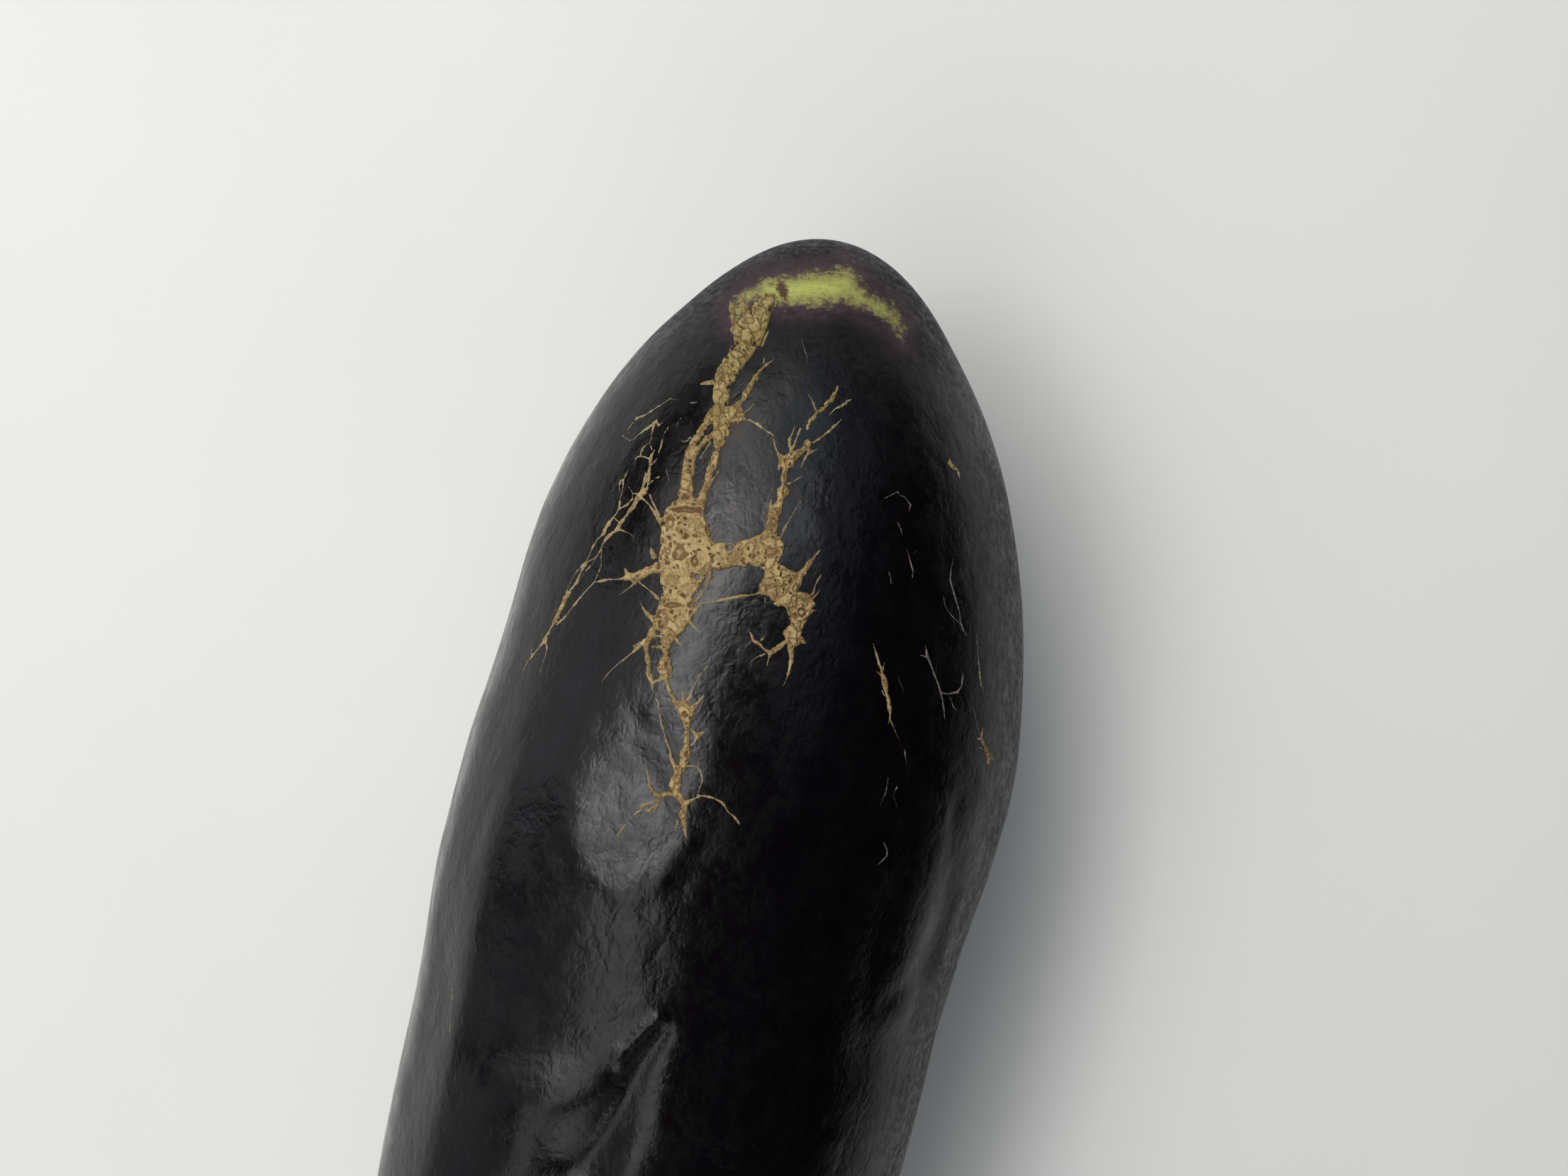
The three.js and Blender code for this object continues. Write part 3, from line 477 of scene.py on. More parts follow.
# The swell of the cork from its edge inwards, lower on thin strands, and what each form adds to it
INNER_CORK = (0.06, 0.3)
CORK_SHOULDER = 0.2
THIN_SWELL = 0.45
FULL_SWELL = (0.1, 0.6)
LUMP_RISE, RIM_RISE, PIT_SINK, GRAIN_RISE = 0.25, 0.18, 0.6, 0.1
# Where the edge is darkened and the thin strands greyed, from no effect to full
EDGE_COLOUR = (0.16, 0.02)
EDGE_COLOUR_STRANDS = (0.2, 0.4)
THIN_COLOUR = (0.3, 0.12)
# The thin cracks' welt
CRACK_SHOULDER = 0.08
CRACK_BEAD_SIZE = 0.5
CRACK_BEAD_RISE = 0.3

# The scar's pieces, each a window of the trace as (left, right, upper, lower)
CORK_WINDOWS = (
    ("scar_trunk", (-24.6, 26, 5, 30.3)),
    ("scar_strands", (-24.6, 26, 30.3, 42.4)),
    ("scar_heart", (-24.6, -12.6, 42.4, 56.4)),
    ("scar_right", (-12.6, 26, 42.4, 91)),
    ("scar_foot", (-33, -12.6, 56.4, 91)),
    ("scar_left_net", (-57, -24.6, 5, 56.4)),
    ("scar_left_end", (-57, -33, 56.4, 91)),
)

# Places where the skin shows through the cork, as (right, down, radius), and how ragged they are
HOLE_RAGGED = (0.1, 0.4)
CORK_HOLES = (
    (-12.3, 43.9, 0.45), (-21.7, 40.6, 0.3), (-16.9, 48, 0.35), (-22.3, 56, 0.3),
    (-22.3, 56.9, 0.35), (-23.4, 57.8, 0.2), (-17.9, 31.8, 0.16), (-17.9, 32.5, 0.14),
)
# Craters in the cork, as (right, down, half width, half height, how deep)
CRATERS = (
    (-19.2, 44.8, 1.15, 1.4, 0.9), (-17.2, 46, 0.6, 0.95, 0.9), (-20.8, 44.6, 0.5, 0.6, 0.8),
    (-22.1, 46.5, 0.35, 0.7, 0.9), (-20.5, 40.5, 0.8, 1.0, 0.8), (-18.2, 38.7, 2.2, 0.5, 1),
    (-2.4, 53.1, 0.75, 0.65, 1), (-3.7, 54.7, 0.4, 0.35, 1), (-20.3, 52.1, 1.3, 0.45, 0.8),
    (-6.6, 44.6, 1.2, 0.9, 0.7), (-3.2, 49.6, 0.6, 0.8, 0.6), (-9.6, 12.2, 1.0, 0.6, 0.6),
)

# Yellow-green patch, as (right, down, radius) beads along its middle
PATCH = (
    (-10.9, 12.6, 0.7), (-11.3, 10.6, 1), (-10.2, 9, 1), (-8.6, 7.7, 1.1), (-7, 7.5, 1.7),
    (-5, 7.8, 2.2), (-2.5, 7.5, 2.4), (0, 7.3, 2.4), (2, 7.1, 2.3), (3.8, 6.5, 2.4), (5, 7.8, 1.8),
    (6.5, 9, 1.5), (8, 9.8, 1.3), (9.5, 10.6, 1.2), (10.7, 11.8, 1.1), (11.6, 13.2, 0.8),
    (11.8, 14.5, 0.4),
)
# The patch's faint bulge towards the blossom end, the purple island in it, and the brown pit, all as
# such beads
PATCH_BULGE = ((3.7, 3.8, 1.0), (3.8, 3.9, 0.9))
BULGE_FAINTER = 0.9
PURPLE_ISLAND = ((-8.6, 7.9, 0.35), (-8.3, 9, 0.55))
ISLAND_DEPTH = 0.6
BLOSSOM_PIT = ((-5.2, 7.2, 0.75), (-4.9, 7.9, 0.7), (-4.6, 8.9, 0.25))
FAR_OFF = 50.0  # from any bead
# Below this height over the centreline, the patch and the pit are pushed this far off
SEEN_HEIGHT = 4
PUSHED_OFF = 20
# Where the skin is duller, each from no effect to full: distance from the patch, s, and on the right
# flank the height over the centreline and the distance aside from it
DULL_BY_PATCH = (9, 1)
DULL_BY_END = (34, 5)
DULL_FLANK_HEIGHT = (28, 10)
DULL_FLANK_ASIDE = (10, 30)
DULL_FLANK = 0.8

# Surroundings, in metres
BOARD_HALF = 1.6
SURROUND = 0.01
LAMP_TARGET = (0, 0.05, 0.035)
LAMP_DISTANCE = 1.2
LAMP_SIZE = 0.45
WARM = (1, 0.97, 0.92)
WHITE = (1, 1, 1)
COOL = (0.86, 0.93, 1)
BLUE = (0.68, 0.84, 1)
# Lamps on a dome, as (degrees from the far side round to the right, degrees up, brightness, colour)
LAMPS = (
    (-90, 58, 5.4, WHITE), (-45, 58, 5.8, WARM), (0, 58, 2.3, COOL), (-135, 58, 2.4, WHITE),
    (-28, 35, 3.3, WARM), (-60, 35, 2.2, WARM), (-90, 35, 1.1, WHITE), (-120, 35, 0.4, COOL),
    (-150, 35, 1.5, WHITE), (180, 35, 2, WHITE), (0, 35, 1.4, BLUE), (150, 35, 0.35, COOL),
    (180, 12, 1.1, WARM), (-120, 12, 0.5, COOL), (-90, 12, 1.1, COOL), (-30, 12, 0.3, COOL),
)
# Two long lamps, as (one end, the other end, width, brightness, colour)
STRIPS = (
    ((-0.25, 0.474, 0.6), (-0.37, -0.02, 0.6), 0.12, 2.7, WHITE),
    ((0.386, 0.765, 0.6), (0.115, 0.03, 0.6), 0.12, 0.55, BLUE),
)

# Calyx
LOBES = 5
LOBE_TIPS = (45, 39, 47, 41, 37)
LOBE_NOTCH = 17
LOBE_TAPER = 1.15
LOBE_TURN = 0.35
CALYX_GAP = 0.35  # between the cap and the skin
CALYX_THICKNESS = 3.4
CALYX_EDGE = 1  # its thickness at the rim
LOBE_CURL = 1.1
CALYX_CROWDING = 1.7  # of its rows towards the middle
CALYX_COLUMNS = 420
CALYX_ROWS = 90  # on each of its two faces
# Its veins: one down each lobe's middle and finer ones beside it, over a part of the way to the rim
VEIN_RISE = 0.55
MIDDLE_VEIN, MIDDLE_WIDTH = 0.8, 0.09
FINE_VEINS, FINE_COUNT, FINE_SLANT = 0.35, 26, 5
FINE_VEINS_FADE = (0.1, 0.9)
VEINS_START = (0.05, 0.3)
VEINS_END = (1, 0.75)
CAP_WAVE = 0.25
CAP_WAVES_ROUND, CAP_WAVES_OUTWARDS = 6, 5
CAP_WAVES_START = (0, 0.3)
DRY_RIM = (1.6, 0.2)  # distance from the rim, from no effect to full

# Stem
STEM_LENGTH = 29
STEM_RADIUS = 5.6
STEM_FOOT_RADIUS = 8.4
STEM_FOOT_DROP = 1.6
STEM_CUT_RADIUS = 6.4
STEM_BEND = (-3.5, 3)
STEM_RIB = 0.07
STEM_GAP = 0.3  # between the stalk and the cap
STEM_COLUMNS = 200
STEM_ROWS = 150
STEM_FOOT_ROWS = 10
STEM_CUT_ROWS = 14
STEM_JOIN = 0.12  # the share of the shaft over which it leaves the foot
FINE_RIB, FINE_RIBS, RIB_TWIST = 0.012, 23, 3
STEM_LUMP, STEM_LUMPS_ROUND, STEM_LUMPS_ALONG = 0.02, 3, 5
CUT_HOLLOW, CUT_ROUGH = 0.5, 0.25


# Smooth curves and noise


def smooth_through(stations):
    """A curve through (place, value) stations: each stretch is a cubic, and its slope at a station is
    that of the line through the two stations beside it."""
    places, values = np.array(stations, float).T
    before = np.maximum(np.arange(len(places)) - 1, 0)
    after = np.minimum(np.arange(len(places)) + 1, len(places) - 1)
    slopes = (values[after] - values[before]) / (places[after] - places[before])

    def curve(place):
        i = np.clip(np.searchsorted(places, place, side="right") - 1, 0, len(places) - 2)
        gap = places[i + 1] - places[i]
        t = np.clip((place - places[i]) / gap, 0, 1)
        bend = gap * (t * (1 - t) ** 2 * slopes[i] - t * t * (1 - t) * slopes[i + 1])
        return values[i] + (values[i + 1] - values[i]) * t * t * (3 - 2 * t) + bend

    return curve


def round_ended_profile(stations, start_radius, end_radius):
    """A profile round at both ends: its square over s (length - s) is a smooth curve."""
    inner = [(s, r * r / (s * (FRUIT_LENGTH - s))) for s, r in stations]
    ends = 2 * start_radius / FRUIT_LENGTH, 2 * end_radius / FRUIT_LENGTH
    fullness = smooth_through([(0, ends[0]), *inner, (FRUIT_LENGTH, ends[1])])
    return lambda s: np.sqrt(np.maximum(fullness(s) * s * (FRUIT_LENGTH - s), 0))


def smoothstep(low, high, x):
    """0 below low and 1 above high, eased between them."""
    t = np.clip((x - low) / (high - low), 0, 1)
    return t * t * (3 - 2 * t)


def lump_noise(places, name):
    """A smooth field from -1 to 1 with about one lump per unit: seeded random values on whole-number
    corners, blended across each cell with eased weights."""
    seed = SEEDS[name]
    places = np.stack(np.broadcast_arrays(*places), -1)
    cell = np.floor(places).astype(np.int64)
    part = places - cell
    ease = part * part * (3 - 2 * part)
    total = np.zeros(places.shape[:-1])
    for corner in product((0, 1), repeat=places.shape[-1]):
        at = cell + corner
        weight = np.prod(np.where(np.array(corner) == 1, ease, 1 - ease), axis=-1)
        total += weight * scattered(at, seed)
    return total


def scattered(whole, seed):
    """Seeded random values from -1 to 1 for places with whole-number coordinates: each coordinate times
    its own large number, mixed bit by bit with the seed, shuffled twice, and 16 bits of it taken."""
    mixed = np.full(whole.shape[:-1], SEED_MIXER * (seed + SEED), np.int64)
    for axis, factor in zip(range(whole.shape[-1]), AXIS_MIXERS):
        mixed ^= whole[..., axis] * factor
    mixed = (mixed & LOW_32_BITS) * SHUFFLERS[0] & LOW_32_BITS
    mixed = (mixed ^ (mixed >> 13)) * SHUFFLERS[1] & LOW_32_BITS
    return ((mixed >> 8) & LOW_16_BITS) / (LOW_16_BITS / 2) - 1


# The skin


half_width = round_ended_profile(HALF_WIDTHS, BLOSSOM_END_RADIUS, STEM_END_RADIUS)
depth_below = round_ended_profile(DEPTHS, BLOSSOM_END_RADIUS, STEM_END_RADIUS)
bow = smooth_through(BOW)


def swelling(s, turn):
    """How far the skin stands off the plain form: a sum of bells, each with its own reach along and
    across the fruit, and of waves stretched lengthwise, all fading towards the ends."""
    across = half_width(s)
    total = np.zeros(np.broadcast(s, turn).shape)
    for at, degrees, long, wide, rise, slant in SWELLINGS:
        along = s - at
        aside = turn - radians(degrees)
        over = np.arctan2(np.sin(aside), np.cos(aside)) * across - slant * along
        total = total + rise * np.exp(-((along / long) ** 2) - (over / wide) ** 2)
    for around, along, rise, name in SKIN_WAVES:
        ring = across / around
        places = ring * np.sin(turn), ring * np.cos(turn), s / along
        total = total + rise * lump_noise(places, name)
    return total * smoothstep(0, SWELLINGS_FADE, across)


def skin(s, turn):
    """Points of the skin: ellipses across a bowed centreline, deeper below than above, with the
    swelling and the relief seen on the trace added, and none lower than what the fruit lies on."""
    across = half_width(s)
    height = np.where(np.cos(turn) > 0, HEIGHT_OVER_WIDTH * across, depth_below(s))
    extra = swelling(s, turn)

    def points(extra):
        x = bow(s) + (across + extra) * np.sin(turn)
        z = CENTRE_HEIGHT + (height + extra) * np.cos(turn)
        return np.stack(np.broadcast_arrays(x, BLOSSOM_END_Y - s, np.maximum(z, 0)), -1)

    plain = points(extra)
    above = smoothstep(0, RELIEF_FADE, plain[..., 2] - CENTRE_HEIGHT)
    return points(extra + above * relief(*to_trace(plain)))


def skin_normal(s, turn):
    """Outward direction of the skin: the cross product of its slopes along and around."""
    inside = np.clip(s, NEAR_END, FRUIT_LENGTH - NEAR_END)
    along = skin(inside + SLOPE_STEP, turn) - skin(inside - SLOPE_STEP, turn)
    around = skin(inside, turn + SLOPE_TURN) - skin(inside, turn - SLOPE_TURN)
    normal = np.cross(along, around)
    return normal / np.maximum(np.linalg.norm(normal, axis=-1, keepdims=True), 1e-9)


def to_trace(points):
    """Where points of the skin lie on the trace: carried along the eye's sight lines to the height of
    the centreline, then turned to the trace's axes."""
    spread = EYE_HEIGHT / (EYE_HEIGHT - (points[..., 2] - CENTRE_HEIGHT))
    x = EYE_ON_TRACE[0] + (points[..., 0] - EYE_X) * spread
    s = EYE_ON_TRACE[1] + (BLOSSOM_END_Y - points[..., 1] - EYE_STATION) * spread
    right = x * np.cos(TRACE_TURN) - s * np.sin(TRACE_TURN)
    return right, x * np.sin(TRACE_TURN) + s * np.cos(TRACE_TURN)


def from_trace(right, down):
    """The s and turn of the skin point seen at a place of the trace, closed in on step by step: each
    step takes the height found before to slide along the sight line."""
    x = right * np.cos(TRACE_TURN) + down * np.sin(TRACE_TURN) - EYE_ON_TRACE[0]
    along = down * np.cos(TRACE_TURN) - right * np.sin(TRACE_TURN) - EYE_ON_TRACE[1]
    spread = np.ones_like(x)
    for _ in range(SIGHT_STEPS):
        s = np.clip(EYE_STATION + along / spread, NEAR_END, FRUIT_LENGTH - NEAR_END)
        sine = np.clip((EYE_X + x / spread - bow(s)) / half_width(s), -RIM_SINE, RIM_SINE)
        turn = np.arcsin(sine)
        rise = HEIGHT_OVER_WIDTH * half_width(s) * np.cos(turn)
        spread = (1 - SIGHT_SHARE) * spread + SIGHT_SHARE * EYE_HEIGHT / (EYE_HEIGHT - rise)
    return s, turn


def chain_gaps(right, down, chain):
    """For each stretch of a chain of (right, down, width): the distance to its middle line, and the
    width there, which runs evenly from end to end."""
    for (x0, d0, r0), (x1, d1, r1) in zip(chain, chain[1:]):
        dx, dd = x1 - x0, d1 - d0
        t = np.clip(((right - x0) * dx + (down - d0) * dd) / (dx * dx + dd * dd), 0, 1)
        yield np.hypot(right - x0 - t * dx, down - d0 - t * dd), r0 + (r1 - r0) * t


def beads_field(right, down, beads):
    """Distance outside a chain of beads, negative inside."""
    field = np.full(np.broadcast(right, down).shape, FAR_OFF)
    for gap, radius in chain_gaps(right, down, beads):
        field = np.minimum(field, gap - radius)
    return field


def relief(right, down):
    """Rise of the folds and flat spots seen on the trace. A fold is a bell across its chain. A flat spot
    undoes a share of the skin's curve inside a ragged oval, and is tilted and sunk. It fades slowly at
    its upper rim and quickly at its lower one, where the highlight on it has a clear edge."""
    total = np.zeros(np.broadcast(right, down).shape)
    for height, chain in FOLDS:
        nearest = np.full(total.shape, FOLD_REACH)
        for gap, width in chain_gaps(right, down, chain):
            nearest = np.minimum(nearest, gap / width)
        total += height * np.exp(-nearest * nearest)
    for x, d, wide, long, flat, sunk, tilt in FLAT_SPOTS:
        across = (right - x) * np.cos(TRACE_TURN) + (down - d) * np.sin(TRACE_TURN)
        along = (down - d) * np.cos(TRACE_TURN) - (right - x) * np.sin(TRACE_TURN)
        fade = SPOT_FADE * (1 - SPOT_LOWER_LESS * smoothstep(*SPOT_LOWER_PART, along / long))
        lumps = lump_noise((right / SPOT_LUMPS, down / SPOT_LUMPS, 0 * down), "spot rims")
        reach = np.hypot(across / wide, along / long) + SPOT_RAGGED * lumps
        inside = smoothstep(1 + fade, 1 - fade, reach)
        total += inside * (flat * across * across / (2 * SKIN_CURVE) + tilt * along - sunk)
    return total


# Meshes and materials


def add_object(name, data, place=None):
    """Puts an object with a mesh, lamp or camera in the scene, at the origin or at its own place."""
    thing = bpy.data.objects.new(name, data)
    if place is not None:
        thing.matrix_world = place
    bpy.context.scene.collection.objects.link(thing)
    return thing


def new_piece(name, points, faces, material, replaced=None):
    """A smooth-shaded mesh in metres that rides on the fruit's body."""
    mesh = bpy.data.meshes.new(name)
    mesh.from_pydata([], [], [])
    faces = np.asarray(faces, np.int64)
    mesh.vertices.add(len(points))
    mesh.vertices.foreach_set("co", (np.asarray(points) * MM).astype(np.float32).ravel())
    sides = faces.shape[1]
    mesh.loops.add(faces.size)
    mesh.loops.foreach_set("vertex_index", faces.ravel())
    mesh.polygons.add(len(faces))
    mesh.polygons.foreach_set("loop_start", np.arange(0, faces.size, sides))
    mesh.polygons.foreach_set("use_smooth", np.ones(len(faces), bool))
    mesh.update(calc_edges=True)
    mesh.validate()
    mesh.materials.append(material)
    piece = add_object(name, mesh)
    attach(piece, "root")
    if replaced:
        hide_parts(replaced)
    return piece


def paint(piece, **fields):
    """Stores one number a vertex under each name, for the piece's material to read."""
    for name, values in fields.items():
        layer = piece.data.attributes.new(name, "FLOAT", "POINT")
        layer.data.foreach_set("value", np.asarray(values, np.float32).ravel())


def round_grid(surface, columns, rows):
    """A closed surface of triangles, from one pole to the other. surface(turn, row) gives the points
    of whole rings, with row from 0 to rows, and each pole is one point. Gives the points, the
    triangles, and the turn and row of each point."""
    turns = np.arange(columns) * 2 * pi / columns
    rings, column = np.meshgrid(np.arange(rows + 1), turns, indexing="ij")

    def one_pole_each(values):
        body = values[1:-1].reshape(-1, *values.shape[2:])
        return np.concatenate([values[0, :1], body, values[-1, :1]])

    vertices = one_pole_each(surface(column, rings))
    ids = 1 + np.arange((rows - 1) * columns).reshape(rows - 1, columns)
    beside = np.roll(ids, -1, axis=1)
    a, b, c, d = ids[:-1], beside[:-1], beside[1:], ids[1:]
    walls = np.stack([a, c, b, a, d, c], -1).reshape(-1, 3)
    first = np.stack([np.zeros(columns, int), ids[0], beside[0]], -1)
    last = np.stack([np.full(columns, len(vertices) - 1), beside[-1], ids[-1]], -1)
    faces = np.vstack([first, walls, last])
    return vertices, faces, one_pole_each(column), one_pole_each(rings)


class Nodes:
    """A material's node tree, with its Principled shader ready and short ways to add to it."""

    def __init__(self, name):
        self.material = bpy.data.materials.new(name)
        self.material.use_nodes = True
        self.tree = self.material.node_tree
        self.shader = self.tree.nodes["Principled BSDF"]

    def add(self, kind, out=0, settings=None, **inputs):
        """Adds a node, sets or links its inputs by name, and gives its output."""
        node = self.tree.nodes.new("ShaderNode" + kind)
        for key, value in (settings or {}).items():
            setattr(node, key, value)
        for key, value in inputs.items():
            self.feed(node.inputs[int(key[1:]) if key[0] == "_" else key.replace("_", " ")], value)
        return node.outputs[out]

    def feed(self, socket, value):
        """Links a node's output to a socket, or sets the socket's own value."""
        if isinstance(value, bpy.types.NodeSocket):
            self.tree.links.new(value, socket)
        else:
            socket.default_value = value

    def set(self, **inputs):
        for key, value in inputs.items():
            self.feed(self.shader.inputs[key.replace("_", " ")], value)

    def attribute(self, name):
        return self.add("Attribute", out="Fac", settings={"attribute_name": name})

    def place(self, stretch=(1, 1, 1)):
        """Object coordinates in millimetres, divided by a stretch."""
        spot = self.add("TexCoord", out="Object")
        scale = [1 / (MM * amount) for amount in stretch]
        return self.add("Mapping", Vector=spot, Scale=scale)

    def noise(self, place, size, detail, roughness, twist=0.0):
        """Noise with lumps of about a size in millimetres."""
        inputs = {"Scale": 1 / size, "Detail": detail, "Roughness": roughness, "Distortion": twist}
        return self.add("TexNoise", Vector=place, **inputs)

    def math(self, operation, first, second=0.0, third=0.0):
        settings = {"operation": operation}
        return self.add("Math", settings=settings, _0=first, _1=second, _2=third)

    def ramp(self, value, low, high, low_to=0.0, high_to=1.0):
        """value carried evenly from low..high to low_to..high_to, and held outside."""
        settings = {"interpolation_type": "SMOOTHSTEP"}
        inputs = {"From_Min": low, "From_Max": high, "To_Min": low_to, "To_Max": high_to}
        return self.add("MapRange", settings=settings, Value=value, **inputs)

    def swayed(self, value, noise, amount):
        """A value moved both ways by a noise."""
        return self.math("MULTIPLY_ADD", self.math("SUBTRACT", noise, 0.5), amount, value)

    def mix(self, share, first, second):
        """A colour mix by share."""
        settings = {"data_type": "RGBA"}
        return self.add("Mix", out=2, settings=settings, _0=share, _6=first, _7=second)

    def stain(self, colour, tint, where, share):
        """A colour with a share of a tint over it, where the tint lies."""
        return self.mix(self.math("MULTIPLY", where, share), colour, tint)

    def bump(self, height, depth, strength=1.0, onto=None):
        """A normal from a height field, its depth in millimetres."""
        inputs = {"Height": height, "Distance": depth * MM, "Strength": strength}
        if onto is not None:
            inputs["Normal"] = onto
        return self.add("Bump", **inputs)


def srgb(red, green, blue):
    """A colour from its 0 to 255 screen values."""
    screen = np.array([red, green, blue]) / 255
    light = np.where(screen <= 0.04045, screen / 12.92, ((screen + 0.055) / 1.055) ** 2.4)
    return (*map(float, light), 1.0)


def skin_material():
    """Black-purple waxy skin with lengthwise streaks and a fine mottling, a green patch that frays
    through olive flecks into a purple halo, and a brown pit in it. Its roughness follows the clouds
    and cells of its bumps, plus a mottled share where the skin is dull."""
    n = Nodes("aubergine_skin")
    place = n.place()
    mottle = n.noise(place, size=0.9, detail=5, roughness=0.65)
    speck = n.noise(place, size=0.35, detail=3, roughness=0.6)
    drift = n.noise(place, size=4, detail=3, roughness=0.5)
    frayed = n.swayed(n.attribute("patch_gap"), mottle, 4.2)
    frayed = n.swayed(frayed, drift, 2.2)
    dark = n.mix(drift, srgb(5, 3, 5), srgb(9, 6, 9))
    purple = n.mix(n.ramp(mottle, 0.4, 0.75), srgb(36, 20, 30), srgb(84, 62, 68))
    halo = n.math("POWER", n.ramp(frayed, 0.1, 4, 1, 0), 1.2)
    olive = n.mix(n.ramp(speck, 0.3, 0.7), srgb(106, 96, 60), srgb(146, 142, 82))
    fresh = n.mix(n.ramp(mottle, 0.35, 0.65), srgb(148, 152, 74), srgb(180, 186, 100))
    green = n.mix(n.ramp(frayed, -2.4, -0.5, 1, 0), olive, fresh)
    colour = n.mix(halo, dark, purple)
    colour = n.mix(n.ramp(frayed, -0.9, 0.4, 1, 0), colour, green)
    pit = n.swayed(n.attribute("pit_gap"), speck, 1.2)
    colour = n.mix(n.ramp(pit, -0.3, 0.3, 1, 0), colour, srgb(70, 46, 32))
    streak = n.noise(n.place((0.6, 2.6, 0.6)), size=1, detail=4, roughness=0.6, twist=1.2)
    cells = n.noise(n.place((1, 1.3, 1)), size=0.9, detail=1.5, roughness=0.45, twist=0.8)
    clouds = n.noise(n.place((1, 1.5, 1)), size=3, detail=3, roughness=0.5, twist=0.4)
    normal = n.bump(clouds, depth=0.14)
    normal = n.bump(streak, depth=0.008, onto=normal)
    normal = n.bump(cells, depth=0.05, onto=normal)
    gloss = n.swayed(clouds, cells, 0.6)
    dull = n.math("MULTIPLY", n.attribute("dull"), n.ramp(mottle, 0.35, 0.65, 0.2, 0.5))
    rough = n.math("ADD", dull, n.ramp(gloss, 0.3, 0.7, 0.2, 0.32))
    n.set(Base_Color=colour, Roughness=rough, IOR=1.36, Normal=normal)
    return n.material


def cork_material():
    """Dry tan cork, its lumps a little unlike each other, with brown pits and edges, pale rims round
    the pits, rusty patches, greyer thin strands, and an olive cast towards the blossom end."""
    n = Nodes("tan_cork")
    place = n.place()
    grain = n.noise(place, size=0.28, detail=4, roughness=0.7)
    tone = n.noise(place, size=2.6, detail=3, roughness=0.55)
    lump = n.swayed(n.attribute("lump"), grain, 2.0)
    colour = n.mix(n.ramp(lump, 0.0, 1.0), srgb(124, 100, 62), srgb(178, 154, 104))
    colour = n.stain(colour, srgb(136, 100, 62), n.ramp(tone, 0.5, 0.68), 0.6)
    upper = n.math("MULTIPLY", n.attribute("upper"), n.ramp(tone, 0.35, 0.6, 0.35, 0.85))
    colour = n.mix(upper, colour, srgb(130, 118, 62))
    colour = n.stain(colour, srgb(188, 166, 122), n.attribute("rim"), 0.6)
    colour = n.stain(colour, srgb(146, 134, 106), n.attribute("thin"), 0.7)
    colour = n.stain(colour, srgb(98, 78, 46), n.attribute("edge"), 0.6)
    hollow = n.mix(n.attribute("upper"), srgb(98, 72, 42), srgb(86, 68, 38))
    colour = n.stain(colour, hollow, n.attribute("pit"), 0.95)
    n.set(Base_Color=colour, Roughness=0.8, IOR=1.38, Normal=n.bump(grain, depth=0.15))
    return n.material


def crack_material():
    """Pale, slightly waxy crack tissue."""
    n = Nodes("pale_crack")
    grain = n.noise(n.place(), size=0.4, detail=3, roughness=0.6)
    colour = n.mix(n.ramp(grain, 0.3, 0.7), srgb(74, 68, 66), srgb(128, 120, 108))
    n.set(Base_Color=colour, Roughness=0.55, IOR=1.4)
    return n.material


def calyx_material():
    """Leathery green cap, blotched and speckled, with paler veins and a dry brown rim."""
    n = Nodes("calyx_green")
    place = n.place()
    blotch = n.noise(place, size=5, detail=4, roughness=0.6)
    speck = n.noise(place, size=0.7, detail=4, roughness=0.6)
    colour = n.mix(n.ramp(blotch, 0.35, 0.65), srgb(70, 88, 38), srgb(104, 118, 56))
    colour = n.stain(colour, srgb(138, 142, 84), n.ramp(speck, 0.52, 0.66), 0.5)
    colour = n.mix(n.attribute("vein"), colour, srgb(128, 136, 76))
    colour = n.stain(colour, srgb(96, 76, 48), n.attribute("rim"), n.ramp(blotch, 0.35, 0.6, 0.5, 1))
    normal = n.bump(speck, depth=0.12, strength=0.8)
    n.set(Base_Color=colour, Roughness=n.ramp(blotch, 0.3, 0.7, 0.42, 0.6), IOR=1.45, Normal=normal)
    return n.material


def stem_material():
    """Ribbed green stalk, with a dry brown rim round a pale pith on its cut end."""
    n = Nodes("stem_green")
    fibre = n.noise(n.place((1, 4, 1)), size=0.8, detail=4, roughness=0.6)
    blotch = n.noise(n.place(), size=4, detail=3, roughness=0.6)
    colour = n.mix(n.ramp(fibre, 0.35, 0.65), srgb(84, 98, 46), srgb(122, 130, 70))
    colour = n.stain(colour, srgb(128, 112, 70), n.ramp(blotch, 0.55, 0.7), 0.7)
    flesh = n.noise(n.place(), size=0.5, detail=4, roughness=0.65)
    ring = n.attribute("cut_place")
    cut = n.mix(n.ramp(ring, 0.35, 0.62), srgb(176, 168, 116), srgb(132, 126, 76))
    cut = n.mix(n.ramp(ring, 0.8, 0.95), cut, srgb(92, 70, 44))
    cut = n.stain(cut, srgb(120, 96, 60), n.ramp(flesh, 0.5, 0.65), 0.6)
    colour = n.mix(n.attribute("cut"), colour, cut)
    normal = n.bump(fibre, depth=0.15, strength=0.8)
    n.set(Base_Color=colour, Roughness=0.68, IOR=1.45, Normal=normal)
    return n.material


def floor_material():
    """Pale matt board with a faint cloudiness."""
    n = Nodes("pale_board")
    cloud = n.noise(n.place(), size=60, detail=4, roughness=0.5)
    colour = n.mix(cloud, srgb(226, 225, 222), srgb(232, 231, 229))
    n.set(Base_Color=colour, Roughness=0.85, IOR=1.3)
    return n.material


# Pieces


